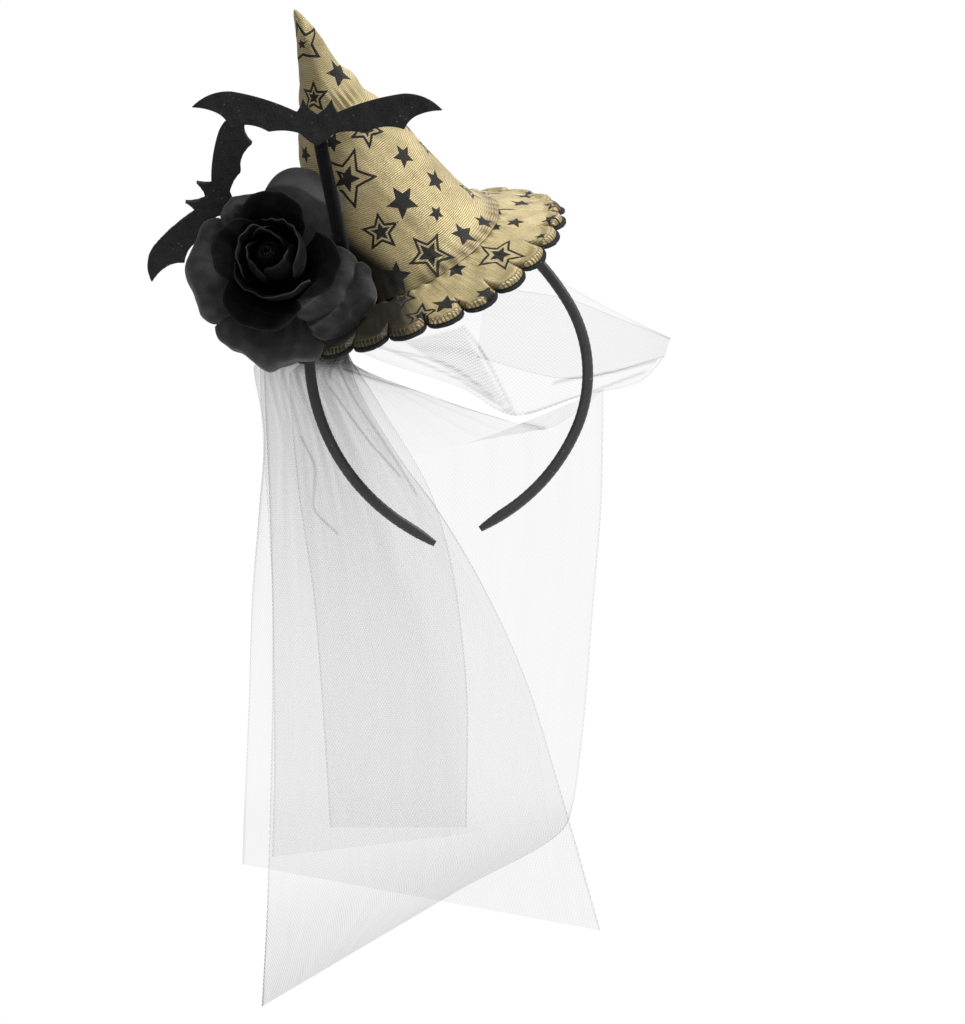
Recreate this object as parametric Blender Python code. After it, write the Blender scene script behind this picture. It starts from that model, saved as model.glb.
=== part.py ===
"""Witch hat headband, as closed solids in metres with +Z up.

A black headband stands in the XZ plane and opens downwards. A small pointed hat of gold cloth sits
on its left shoulder (-X), tilted to the left and towards the front (-Y). In front of the hat are a
black silk rose and two felt bats on fuzzy wires, and a veil of black net hangs behind the band.

The origin is the highest point of the band's inner face, where the top of a head comes.
Sizes are in millimetres and degrees. Meshes become metres when their objects are made.
"""

from math import cos, hypot, pi, radians, sin, sqrt
from typing import NamedTuple

import bmesh
import bpy
from mathutils import Vector

METRES = 0.001  # metres in one millimetre
GAP = 0.3  # clearance between pieces that touch

X_AXIS = Vector((1, 0, 0))
BACK = Vector((0, 1, 0))

# Headband
BAND_THICK = 5.4  # from its inner to its outer face
BAND_WIDE = 7.0  # front to back
BAND_CHAMFER = 1.5
BAND_STEP = 8.0  # distance between sections along the band
BAND_TAPER = 14.0  # length over which each end gets thinner
BAND_END_SCALE = 0.55


class Run(NamedTuple):
    """A stretch of the band: an arc of radius `size`, or a straight of that length if turn is 0."""

    size: float
    turn: float


# From the top of the band, downwards on each side
BAND_RIGHT = (Run(46.5, 46.5), Run(132.0, 11.4), Run(68.5, 56.5), Run(93.5, 32.2), Run(15.5, 0))
BAND_LEFT = (Run(46.5, 25.8), Run(33.0, 0), Run(46.5, 64.2), Run(100.5, 58.0), Run(17.0, 0))
SEAT_RUN = 1  # the run of BAND_LEFT that the hat sits on
TWIST_FADE = 40.0  # length over which the band turns flat against the hat

# Hat: its frame has `along` up to the right, `front` towards the viewer and `up` out of the crown
HAT_LEAN = 25.8  # to the left
HAT_TILT = 22.8  # towards the front
HAT_FORWARD = 22.2  # from the band to the middle of the hat, in the brim's plane
HAT_ASIDE = 3.95
LINING_THICK = 1.2
BRIM_THICK = 3.0
CROWN_WALL = 1.5
CROWN_HEIGHT = 139.0
CROWN_SIDES = 36


class Ring(NamedTuple):
    """A section of the crown: height as a share of the crown's, radius, and shift along the brim."""

    up: float
    radius: float
    aside: float


CROWN_RINGS = (
    Ring(0.0, 52.0, 0.0),
    Ring(0.035, 47.3, -0.3),
    Ring(0.1, 42.6, -0.9),
    Ring(0.2, 37.7, -0.8),
    Ring(0.34, 31.8, -0.5),
    Ring(0.45, 26.8, 0.0),
    Ring(0.55, 21.8, 0.7),
    Ring(0.62, 16.6, 0.8),
    Ring(0.67, 15.2, 1.2),
    Ring(0.74, 10.6, 1.6),
    Ring(0.84, 6.9, 2.9),
    Ring(0.93, 3.6, 4.0),
)
CROWN_TIP_ASIDE = 4.0
CROWN_INNER_TIP = 0.86  # height where the hollow inside ends

BRIM_FOOT = 52.0  # radius where the brim starts to droop
BRIM_HOLE = 45.0
BRIM_CREST = 66.0  # radius halfway out on the brim
BRIM_EDGE_THICK = 1.5
BRIM_VALLEY = 78.0  # radius between two scallops
SCALLOPS = 25
SCALLOP_DEPTH = 6.5
SCALLOP_POINTS = (-1.0, -0.62, 0.0, 0.62)  # across one scallop, its ends at -1 and 1
DROOP_MEAN = 22.0
DROOP_SWING = 9.0  # the right side droops that much more, and the left less
DROOP_TURN = -40.0  # direction round the hat where it droops most
BRIM_WAVE = 1.2
SEAT_LIFT = 0.6  # from the brim to the flat end of a wire that stands on it
SEAT_RISE = 5.0  # how far such a wire goes straight up off the brim


class Seat(NamedTuple):
    """Where a wire stands on the brim: its radius and its direction round the hat."""

    radius: float
    turn: float


# Rose: its frame has `right`, `top` and `out`, and its origin where the petals meet
ROSE_ROOT = Vector((-91.0, -71.0, -16.5))
ROSE_OUT = Vector((-0.15, -0.966, 0.2)).normalized()
PETAL_THICK = 1.1
PETAL_ACROSS = 7
PETAL_ALONG = 5
PETAL_ROOT = 4.0
PINWHEEL = 1.5  # how far the side edges of a petal stand outwards and inwards of its bowl
PETAL_FOOT_SHARE = 0.7  # how wide a petal is at its foot, as a share of its full width
PETAL_WIDENS = 0.4  # share of a petal's length over which it widens
PETAL_CORNER = 0.3  # share of a petal's length that its side edges lack


class Petal(NamedTuple):
    """A piece of a bowl: where its foot is, its middle and half its width in degrees round the
    rose, how far out and up the bowl goes, how many degrees of it there are, and its rolled rim."""

    foot: float
    turn: float
    half_width: float
    reach: float
    rise: float
    opening: float
    roll: float


PETALS = (
    Petal(0.0, 75, 66, 15.5, 36, 96, 0),
    Petal(0.0, 195, 66, 15.5, 36, 96, 0),
    Petal(0.0, 315, 66, 15.5, 36, 96, 0),
    Petal(-3.2, 15, 66, 22, 36, 88, 1.5),
    Petal(-3.2, 135, 66, 22, 36, 88, 1.5),
    Petal(-3.2, 255, 66, 22, 36, 88, 1.5),
    Petal(-6.4, -20, 49, 31, 33, 82, 3.5),
    Petal(-6.4, 70, 49, 31, 36, 82, 1.5),
    Petal(-6.4, 160, 49, 31, 33, 82, 3.5),
    Petal(-6.4, 250, 49, 31, 33, 82, 3.5),
    Petal(-9.6, -27, 35, 38, 29, 78, 5),
    Petal(-13.0, 65, 37, 50, 34, 74, 0),
    Petal(-9.6, 122, 20, 38, 28, 78, 3),
    Petal(-9.6, 182, 38, 40, 25, 78, 5),
    Petal(-9.6, 261, 36, 46, 20, 76, 7),
    Petal(-12.0, -32, 28, 44, 30, 80, 4),
)


class BudRing(NamedTuple):
    out: float
    radius: float


BUD_RINGS = (
    BudRing(-11.5, 3.4),
    BudRing(3.0, 3.4),
    BudRing(10.0, 8.0),
    BudRing(22.0, 11.0),
    BudRing(32.0, 9.0),
    BudRing(38.0, 4.5),
)
BUD_SIDES = 12
BUD_TIP = 40.0

STALK_RADIUS = 2.8
STALK_SEAT = Seat(61.0, 166.0)
STALK_BEND = Vector((-87.0, -48.0, -21.8))  # halfway from its seat to the bud's foot

# Bats
BAT_THICK = 3.0


class Edge(NamedTuple):
    """A point on the right half of a bat, and how far the edge up to it bows outwards."""

    across: float
    up: float
    bow: float


BAT_EDGE = (
    Edge(0.0, 4.9, 0.0),
    Edge(6.9, 11.0, -0.9),
    Edge(10.6, 7.2, -0.3),
    Edge(40.0, 16.2, 2.2),
    Edge(60.5, 6.6, 2.4),
    Edge(50.0, 4.0, -0.6),
    Edge(41.6, -3.8, -1.2),
    Edge(22.8, -4.6, -2.2),
    Edge(8.4, -5.2, -1.0),
    Edge(0.0, -11.2, 0.4),
)
BOW_STEPS = 4  # straight pieces in a bowed edge


class Bat(NamedTuple):
    """Where a bat flies: its middle, the way its right wing points and the way its head points."""

    name: str
    middle: Vector
    wing: Vector
    head: Vector
    stem_seat: Seat
    stem_route: tuple


STEM_RADIUS = 3.7
STEM_SIDES = 8
STEM_STEP = 7.0
STEM_END_SCALE = 0.7

BATS = (
    Bat(
        "front",
        Vector((-73.8, -98.0, 54.3)),
        Vector((1.0, 0.0, -0.012)),
        Vector((0.012, 0.0, 1.0)),
        Seat(57.0, 128.0),
        (Vector((-59.0, -63.9, -19.0)), Vector((-59.6, -68.4, -9.5)), Vector((-62.0, -78.6, 3.0)),
         Vector((-66.6, -86.4, 25.0)), Vector((-70.8, -93.4, 49.0))),
    ),
    Bat(
        "left",
        Vector((-123.2, -45.0, 15.7)),
        Vector((0.392, -0.62, 0.675)),
        Vector((-0.905, -0.197, 0.345)),
        Seat(62.0, 188.0),
        (Vector((-99.0, -26.0, 0.0)), Vector((-122.8, -41.4, 18.8))),
    ),
)

# Veil
VEIL_THICK = 1.0
VEIL_COLUMNS = 13


class VeilRow(NamedTuple):
    """A line across a sheet: its left and right ends, its depth behind the band, its pleats' depth."""

    left: tuple
    right: tuple
    back: float
    pleat: float


class Sheet(NamedTuple):
    name: str
    pleats: float
    rows: tuple


NECK_LEFT = (-73.5, -34.0)  # where the net is gathered and glued to the band's back
NECK_RIGHT = (-64.0, -26.0)
THROAT_LEFT = (-71.5, -57.0)
THROAT_RIGHT = (-57.5, -57.5)

SHEETS = (
    Sheet("veil_front", 3.5, (
        VeilRow(NECK_LEFT, NECK_RIGHT, 4.4, 0.0),
        VeilRow(THROAT_LEFT, THROAT_RIGHT, 6.5, 0.5),
        VeilRow((-103.5, -73.0), (-54.5, -74.0), 8.5, 1.4),
        VeilRow((-98.5, -101.0), (-32.0, -110.0), 9.5, 2.0),
        VeilRow((-101.0, -137.0), (-13.0, -136.0), 10.0, 2.0),
        VeilRow((-104.5, -183.0), (9.0, -173.0), 10.0, 1.6),
        VeilRow((-106.0, -232.0), (30.0, -219.0), 9.5, 1.2),
        VeilRow((-108.0, -280.0), (48.0, -277.0), 9.0, 1.0),
        VeilRow((-109.0, -309.5), (66.5, -342.0), 8.5, 0.8),
    )),
    Sheet("veil_inner", 2.5, (
        VeilRow(NECK_LEFT, NECK_RIGHT, 5.8, 0.0),
        VeilRow(THROAT_LEFT, THROAT_RIGHT, 9.6, 0.4),
        VeilRow((-86.0, -83.0), (-42.0, -83.0), 14.2, 1.2),
        VeilRow((-82.0, -123.0), (-14.0, -134.0), 16.0, 1.6),
        VeilRow((-74.0, -180.0), (-3.0, -183.0), 16.5, 1.2),
        VeilRow((-69.5, -237.0), (1.5, -237.0), 16.0, 1.0),
        VeilRow((-66.0, -291.5), (1.0, -291.5), 15.5, 0.8),
    )),
    Sheet("veil_under", 3.0, (
        VeilRow(NECK_LEFT, NECK_RIGHT, 7.2, 0.0),
        VeilRow(THROAT_LEFT, THROAT_RIGHT, 12.4, 0.4),
        VeilRow((-98.0, -80.0), (-50.0, -82.0), 18.8, 1.2),
        VeilRow((-95.5, -140.0), (-16.0, -140.0), 21.5, 1.4),
        VeilRow((-94.0, -205.0), (17.0, -195.0), 21.5, 1.2),
        VeilRow((-93.5, -260.0), (36.0, -250.0), 21.0, 1.0),
        VeilRow((-94.5, -306.0), (41.0, -290.0), 20.5, 0.8),
    )),
    Sheet("veil_back", 4.5, (
        VeilRow(NECK_LEFT, NECK_RIGHT, 8.6, 0.0),
        VeilRow(THROAT_LEFT, (-57.5, -61.0), 15.4, 0.4),
        VeilRow((-100.5, -76.0), (-20.0, -78.5), 22.2, 1.0),
        VeilRow((-99.5, -96.0), (15.0, -90.0), 25.0, 1.6),
        VeilRow((-98.0, -118.0), (39.5, -96.0), 27.0, 1.8),
        VeilRow((-96.0, -146.0), (68.0, -76.5), 27.5, 1.8),
        VeilRow((-94.5, -178.0), (67.5, -122.0), 27.0, 1.6),
        VeilRow((-94.5, -222.0), (63.0, -184.0), 26.5, 1.4),
        VeilRow((-95.2, -265.0), (57.0, -254.0), 26.0, 1.2),
        VeilRow((-97.0, -330.0), (51.0, -288.0), 25.5, 1.0),
        VeilRow((-99.6, -379.5), (-9.0, -326.0), 25.0, 0.8),
    )),
    Sheet("veil_loop", 1.5, (
        VeilRow(NECK_LEFT, NECK_RIGHT, 10.2, 0.0),
        VeilRow((-60.5, -52.5), (-52.0, -33.0), 16.6, 0.3),
        VeilRow((-43.0, -62.0), (-35.0, -37.0), 17.2, 0.4),
        VeilRow((-1.5, -76.0), (2.0, -22.0), 17.0, 0.8),
        VeilRow((25.0, -89.5), (30.0, -12.0), 17.0, 1.0),
        VeilRow((57.0, -80.0), (52.0, -26.5), 17.5, 1.0),
        VeilRow((86.0, -73.0), (80.0, -41.5), 18.0, 0.8),
        VeilRow((98.0, -60.5), (101.0, -51.5), 20.5, 0.0),
        VeilRow((92.0, -62.5), (84.0, -45.0), 23.0, 0.4),
        VeilRow((52.0, -71.5), (46.0, -31.0), 23.0, 0.8),
        VeilRow((6.0, -61.0), (10.0, -26.0), 22.0, 0.8),
    )),
)


class Finish(NamedTuple):
    colour: tuple
    roughness: float
    metallic: float


GOLD_CLOTH = Finish((0.63, 0.51, 0.26, 1), 0.45, 0.35)
BLACK_SATIN = Finish((0.035, 0.035, 0.036, 1), 0.45, 0.0)
BLACK_SILK = Finish((0.020, 0.020, 0.021, 1), 0.75, 0.0)
BLACK_FELT = Finish((0.018, 0.017, 0.016, 1), 0.95, 0.0)
BLACK_NET = Finish((0.12, 0.12, 0.13, 1), 0.9, 0.0)


def smooth(x):
    """A smooth step from 0 to 1 as x goes from 0 to 1."""
    x = min(max(x, 0.0), 1.0)
    return x * x * (3 - 2 * x)


def material(name, finish):
    made = bpy.data.materials.new(name)
    made.use_nodes = True
    shader = made.node_tree.nodes["Principled BSDF"]
    shader.inputs["Base Color"].default_value = finish.colour
    shader.inputs["Roughness"].default_value = finish.roughness
    shader.inputs["Metallic"].default_value = finish.metallic
    made.diffuse_color = finish.colour
    return made


def add_solid(name, points, faces, finish, sharp=40):
    """Makes one closed solid from points in millimetres, with its faces turned outwards."""
    mesh = bpy.data.meshes.new(name)
    mesh.from_pydata([p * METRES for p in points], [], faces)
    shape = bmesh.new()
    shape.from_mesh(mesh)
    bmesh.ops.recalc_face_normals(shape, faces=shape.faces)
    bmesh.ops.triangulate(shape, faces=shape.faces)
    if shape.calc_volume(signed=True) < 0:
        bmesh.ops.reverse_faces(shape, faces=shape.faces)
    shape.to_mesh(mesh)
    shape.free()
    mesh.shade_smooth()
    mesh.set_sharp_from_angle(angle=radians(sharp))
    solid = bpy.data.objects.new(name, mesh)
    solid.data.materials.append(material(name, finish))
    bpy.context.scene.collection.objects.link(solid)
    return solid


def skin(rings, closed_start, closed_end):
    """Faces between rings of equal length, whose ends are capped, or closed on one last point."""
    points = [p for ring in rings for p in ring]
    sides = len(rings[0])
    faces = []
    for k in range(len(rings) - 1):
        low, high = k * sides, (k + 1) * sides
        for i in range(sides):
            j = (i + 1) % sides
            faces.append((low + i, low + j, high + j, high + i))
    if closed_start:
        faces.append(tuple(range(sides)))
    if closed_end:
        faces.append(tuple(len(points) - sides + i for i in range(sides)))
    return points, faces


def grid_normals(grid):
    """The normal at each point of a grid, from its neighbours."""
    rows, columns = len(grid), len(grid[0])
    normals = []
    for r in range(rows):
        line = []
        for c in range(columns):
            down = grid[min(r + 1, rows - 1)][c] - grid[max(r - 1, 0)][c]
            across = grid[r][min(c + 1, columns - 1)] - grid[r][max(c - 1, 0)]
            line.append(down.cross(across).normalized())
        normals.append(line)
    return normals


def add_sheet(name, grid, thick, finish):
    """Makes a closed wall of even thickness, half on each side of a grid of points."""
    rows, columns = len(grid), len(grid[0])
    normals = grid_normals(grid)
    points = []
    for side in (0.5, -0.5):
        points += [p + n * thick * side for line, ns in zip(grid, normals) for p, n in zip(line, ns)]
    other = rows * columns
    faces = []
    for r in range(rows - 1):
        for c in range(columns - 1):
            a, b = r * columns + c, (r + 1) * columns + c
            faces.append((a, b, b + 1, a + 1))
            faces.append((other + a, other + a + 1, other + b + 1, other + b))
    rim = [c for c in range(columns)]
    rim += [r * columns + columns - 1 for r in range(1, rows)]
    rim += [(rows - 1) * columns + c for c in range(columns - 2, -1, -1)]
    rim += [r * columns for r in range(rows - 2, 0, -1)]
    for i, a in enumerate(rim):
        b = rim[(i + 1) % len(rim)]
        faces.append((a, b, other + b, other + a))
    return add_solid(name, points, faces, finish)


class Station(NamedTuple):
    """A place on the band: its point, the way outwards there, and the distance from the top."""

    point: Vector
    outward: Vector
    distance: float


def band_stations(runs, side):
    """Stations down one side of the band, side 1 for the right and -1 for the left."""
    place = Vector((0, 0, BAND_THICK / 2))
    heading = 0.0
    distance = 0.0
    stations = []
    for run in runs:
        length = run.size * radians(run.turn) if run.turn else run.size
        steps = max(2, round(length / BAND_STEP))
        for _ in range(steps):
            turn = run.turn / steps
            chord = 2 * run.size * sin(radians(turn) / 2) if turn else length / steps
            middle = radians(heading - turn / 2)
            place = place + Vector((side * cos(middle), 0, sin(middle))) * chord
            heading -= turn
            distance += length / steps
            ahead = radians(heading)
            outward = Vector((-side * sin(ahead), 0, cos(ahead)))
            stations.append(Station(place, outward, side * distance))
    return stations


def band_centreline():
    top = Station(Vector((0, 0, BAND_THICK / 2)), Vector((0, 0, 1)), 0.0)
    return band_stations(BAND_LEFT, -1)[::-1] + [top] + band_stations(BAND_RIGHT, 1)


def run_length(run):
    return run.size * radians(run.turn) if run.turn else run.size


SEAT_START = sum(run_length(run) for run in BAND_LEFT[:SEAT_RUN])
SEAT_END = SEAT_START + run_length(BAND_LEFT[SEAT_RUN])


class HatFrame:
    """The hat's own directions, and its middle on the brim's top face."""

    def __init__(self):
        lean, tilt = radians(HAT_LEAN), radians(HAT_TILT)
        self.along = Vector((cos(lean), 0, sin(lean)))
        outward = Vector((-sin(lean), 0, cos(lean)))
        self.up = outward * cos(tilt) - BACK * sin(tilt)
        self.front = -(BACK * cos(tilt) + outward * sin(tilt))
        seat = [s.point for s in band_centreline() if -SEAT_END - 1 < s.distance < -SEAT_START + 1]
        seat_middle = (seat[0] + seat[-1]) / 2
        stack = BAND_THICK / 2 + GAP + LINING_THICK + GAP + BRIM_THICK + GAP
        self.middle = (seat_middle + self.up * stack + self.front * HAT_FORWARD
                       + self.along * HAT_ASIDE)

    def point(self, radius, turn, up, aside=0.0):
        """A point at a radius and a direction round the crown, where 0 is along and 90 the front."""
        turn = radians(turn)
        return (self.middle + self.along * (aside + radius * cos(turn))
                + self.front * radius * sin(turn) + self.up * up)


HAT = HatFrame()


def band_section(station, scale):
    """The band's eight-sided section, turned flat against the hat where it is seated."""
    seat = (SEAT_START + SEAT_END) / 2
    reach = (SEAT_END - SEAT_START) / 2
    away = abs(station.distance + seat) - reach
    twist = radians(HAT_TILT) * smooth(1 - away / TWIST_FADE)
    out = station.outward * cos(twist) - BACK * sin(twist)
    back = BACK * cos(twist) + station.outward * sin(twist)
    thick, wide = BAND_THICK / 2 * scale, BAND_WIDE / 2 * scale
    cut = BAND_CHAMFER * scale
    corners = ((thick, wide - cut), (thick - cut, wide), (cut - thick, wide), (-thick, wide - cut))
    corners += tuple((-a, -b) for a, b in corners)
    return [station.point + out * a + back * b for a, b in corners]


def make_headband():
    line = band_centreline()
    rings = []
    for station in line:
        end = line[0] if station.distance < 0 else line[-1]
        left = abs(end.distance) - abs(station.distance)
        scale = BAND_END_SCALE + (1 - BAND_END_SCALE) * sqrt(smooth(left / BAND_TAPER))
        rings.append(band_section(station, scale))
    points, faces = skin(rings, True, True)
    add_solid("headband", points, faces, BLACK_SATIN, sharp=50)


def crown_ring(ring, wall):
    radius = ring.radius - wall
    turns = [360 * i / CROWN_SIDES for i in range(CROWN_SIDES)]
    return [HAT.point(radius, turn, ring.up * CROWN_HEIGHT, ring.aside) for turn in turns]


def make_crown():
    """A hollow cone, open at its foot: the outer skin down from the tip, then the inner one up."""
    outer = [crown_ring(ring, 0) for ring in reversed(CROWN_RINGS)]
    inner = [crown_ring(ring, CROWN_WALL) for ring in CROWN_RINGS[::2] if ring.up < CROWN_INNER_TIP]
    points, faces = skin(outer + inner, False, True)
    tip = len(points)
    points.append(HAT.point(0, 0, CROWN_HEIGHT, CROWN_TIP_ASIDE))
    faces += [(tip, i, (i + 1) % CROWN_SIDES) for i in range(CROWN_SIDES)]
    add_solid("hat_crown", points, faces, GOLD_CLOTH)


def droop(turn):
    return radians(DROOP_MEAN + DROOP_SWING * cos(radians(turn - DROOP_TURN)))


def brim_point(radius, turn, lift):
    """A point on the brim's top face, or `lift` off it, which droops from the crown's foot outwards."""
    beyond = max(0.0, radius - BRIM_FOOT)
    angle = droop(turn)
    wave = BRIM_WAVE * sin(radians(4 * turn)) * beyond / (BRIM_VALLEY - BRIM_FOOT)
    flat = min(radius, BRIM_FOOT) + beyond * cos(angle)
    return HAT.point(flat, turn, lift + wave - beyond * sin(angle))


def scalloped(inset):
    """Radius and direction of each point round the brim's edge, moved in by `inset`."""
    pitch = 360 / SCALLOPS
    edge = []
    for n in range(SCALLOPS):
        for across in SCALLOP_POINTS:
            radius = BRIM_VALLEY + SCALLOP_DEPTH * sqrt(1 - across * across)
            edge.append((radius - inset, (n + across / 2) * pitch))
    return edge


def brim_ring(radius, lift):
    return [brim_point(radius, turn, lift) for _, turn in scalloped(0)]


def edge_ring(inset, lift):
    return [brim_point(radius, turn, lift) for radius, turn in scalloped(inset)]


def make_brim():
    """A padded ring: its top face outwards, round the thin scalloped edge and back underneath."""
    top, low, rim = -GAP, -GAP - BRIM_THICK, -GAP - BRIM_EDGE_THICK
    rings = [brim_ring(BRIM_HOLE, top), brim_ring(BRIM_FOOT, top), brim_ring(BRIM_CREST, top),
             edge_ring(2.0, top), edge_ring(0.6, (top + rim) / 2), edge_ring(1.0, rim),
             brim_ring(BRIM_FOOT, low), brim_ring(BRIM_HOLE, low)]
    points, faces = skin(rings, False, False)
    sides, last = len(rings[0]), len(points) - len(rings[0])
    for i in range(sides):
        j = (i + 1) % sides
        faces.append((last + i, last + j, j, i))
    add_solid("hat_brim", points, faces, GOLD_CLOTH, sharp=60)


def make_lining():
    """A felt disc under the brim, whose scalloped edge stands a little proud of it."""
    top, rim = -GAP - BRIM_THICK - GAP, -GAP - BRIM_EDGE_THICK - GAP
    rings = [brim_ring(BRIM_FOOT, top), edge_ring(0.0, rim), edge_ring(0.0, rim - LINING_THICK),
             brim_ring(BRIM_FOOT, top - LINING_THICK)]
    points, faces = skin(rings, True, True)
    add_solid("brim_lining", points, faces, BLACK_FELT)


class RoseFrame:
    """The rose's own directions: right and top as the viewer sees them, and out of the flower."""

    def __init__(self):
        self.out = ROSE_OUT
        self.right = (X_AXIS - self.out * X_AXIS.dot(self.out)).normalized()
        self.top = self.right.cross(self.out) * -1

    def point(self, radius, turn, out):
        turn = radians(turn)
        return (ROSE_ROOT + self.right * radius * cos(turn) + self.top * radius * sin(turn)
                + self.out * out)


ROSE = RoseFrame()


def petal_grid(petal):
    """Points of a petal, whose round rim rolls over outwards."""
    grid = []
    for row in range(PETAL_ALONG + 1):
        along = row / PETAL_ALONG
        widened = smooth(along / PETAL_WIDENS)
        half_width = petal.half_width * (PETAL_FOOT_SHARE + (1 - PETAL_FOOT_SHARE) * widened)
        line = []
        for column in range(PETAL_ACROSS + 1):
            across = 2 * column / PETAL_ACROSS - 1
            share = along * (1 - PETAL_CORNER * abs(across) ** 2.6)
            angle = radians(petal.opening * share)
            rolled = smooth((share - 0.7) / 0.3) * petal.roll
            aside = PINWHEEL * across * widened
            radius = PETAL_ROOT + (petal.reach - PETAL_ROOT) * sin(angle) + rolled + aside * sin(angle)
            out = petal.foot + petal.rise * (1 - cos(angle)) - 0.55 * rolled - aside * cos(angle)
            line.append(ROSE.point(radius, petal.turn + half_width * across, out))
        grid.append(line)
    return grid


def make_rose():
    rings = [[ROSE.point(ring.radius, 360 * i / BUD_SIDES, ring.out) for i in range(BUD_SIDES)]
             for ring in BUD_RINGS]
    points, faces = skin(rings, True, False)
    tip, last = len(points), len(points) - BUD_SIDES
    points.append(ROSE.point(0, 0, BUD_TIP))
    faces += [(last + i, last + (i + 1) % BUD_SIDES, tip) for i in range(BUD_SIDES)]
    add_solid("rose_bud", points, faces, BLACK_SILK)
    for number, petal in enumerate(PETALS, 1):
        add_sheet(f"rose_petal_{number:02d}", petal_grid(petal), PETAL_THICK, BLACK_SILK)
    stalk_end = ROSE.point(0, 0, BUD_RINGS[0].out - SEAT_LIFT)
    add_wire("rose_stalk", from_seat(STALK_SEAT, (STALK_BEND, stalk_end)), STALK_RADIUS)


def bowed(edge):
    """Points along a bat's half outline, each stretch an arc as flat or bowed as its row says."""
    points = [(edge[0].across, edge[0].up)]
    for start, end in zip(edge, edge[1:]):
        across, up = end.across - start.across, end.up - start.up
        length = hypot(across, up)
        steps = BOW_STEPS if abs(end.bow) > 0.5 else 1
        for k in range(1, steps + 1):
            t = k / steps
            bow = end.bow * 4 * t * (1 - t)
            points.append((start.across + across * t - up / length * bow,
                           start.up + up * t + across / length * bow))
    return points


def bat_outline():
    right = bowed(BAT_EDGE)
    left = [(-across, up) for across, up in right[-2:0:-1]]
    return right + left


def make_bat(bat):
    wing, head = bat.wing.normalized(), bat.head.normalized()
    face = wing.cross(head)
    outline = bat_outline()
    rings = [[bat.middle + wing * a + head * u + face * side * BAT_THICK / 2 for a, u in outline]
             for side in (1, -1)]
    points, faces = skin(rings, True, True)
    add_solid(f"bat_{bat.name}", points, faces, BLACK_FELT, sharp=35)


def heading_at(route, k):
    """The smooth curve's direction at a route's point, from the stretches on its two sides."""
    before = route[k] - route[k - 1] if k else route[1] - route[0]
    after = route[k + 1] - route[k] if k + 1 < len(route) else before
    ahead = before.normalized() * after.length + after.normalized() * before.length
    return ahead / (before.length + after.length)


def on_curve(route, distance):
    """A point on the smooth curve through a route's points, at a distance along their polyline."""
    k = 0
    length = (route[1] - route[0]).length
    while distance > length and k + 2 < len(route):
        distance -= length
        k += 1
        length = (route[k + 1] - route[k]).length
    u = min(distance / length, 1.0)
    start, end = heading_at(route, k) * length, heading_at(route, k + 1) * length
    return (route[k] * (2 * u ** 3 - 3 * u ** 2 + 1) + start * (u ** 3 - 2 * u ** 2 + u)
            + route[k + 1] * (3 * u ** 2 - 2 * u ** 3) + end * (u ** 3 - u ** 2))


def from_seat(seat, route):
    """A route that starts on the brim, square to it, and goes on through the given points."""
    foot = brim_point(seat.radius, seat.turn, 0)
    outwards = brim_point(seat.radius + 1, seat.turn, 0) - foot
    around = brim_point(seat.radius, seat.turn + 1, 0) - foot
    square = outwards.cross(around).normalized()
    square *= 1 if square.dot(HAT.up) > 0 else -1
    return (foot + square * SEAT_LIFT, foot + square * SEAT_RISE, *route)


def add_wire(name, route, radius):
    """A round wire along a route, a little thinner at its two ends."""
    length = sum((b - a).length for a, b in zip(route, route[1:]))
    steps = round(length / STEM_STEP)
    line = [on_curve(route, length * k / steps) for k in range(steps + 1)]
    rings = []
    for k, place in enumerate(line):
        ahead = (line[min(k + 1, steps)] - line[max(k - 1, 0)]).normalized()
        side = ahead.cross(X_AXIS).normalized()
        other = ahead.cross(side)
        size = radius * (STEM_END_SCALE if k in (0, steps) else 1)
        turns = [2 * pi * i / STEM_SIDES for i in range(STEM_SIDES)]
        rings.append([place + (side * cos(t) + other * sin(t)) * size for t in turns])
    points, faces = skin(rings, True, True)
    add_solid(name, points, faces, BLACK_FELT, sharp=50)


def make_veil(sheet):
    """A sheet between its left and right edges, with pleats that run down from the gather."""
    grid = []
    for row in sheet.rows:
        line = []
        for column in range(VEIL_COLUMNS):
            t = column / (VEIL_COLUMNS - 1)
            x = row.left[0] + (row.right[0] - row.left[0]) * t
            z = row.left[1] + (row.right[1] - row.left[1]) * t
            pleat = row.pleat * sin(2 * pi * sheet.pleats * t)
            line.append(Vector((x, row.back + pleat, z)))
        grid.append(line)
    add_sheet(sheet.name, grid, VEIL_THICK, BLACK_NET)


def main():
    for old in list(bpy.data.objects):
        bpy.data.objects.remove(old)
    make_headband()
    make_crown()
    make_brim()
    make_lining()
    make_rose()
    for bat in BATS:
        make_bat(bat)
        add_wire(f"stem_{bat.name}", from_seat(bat.stem_seat, bat.stem_route), STEM_RADIUS)
    for sheet in SHEETS:
        make_veil(sheet)


main()
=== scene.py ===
"""Looks of the witch hat headband: star cloth, felt, silk, fuzzy wire, satin and black net.

Sizes are in millimetres and degrees, and a mesh gets metres when its points are placed.
The camera looks along +Y at a hat that leans to the left and tips towards it.
"""

import logging
import math
from contextlib import contextmanager
from dataclasses import dataclass, field
from enum import Enum
from typing import Callable, Iterator, Sequence

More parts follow.
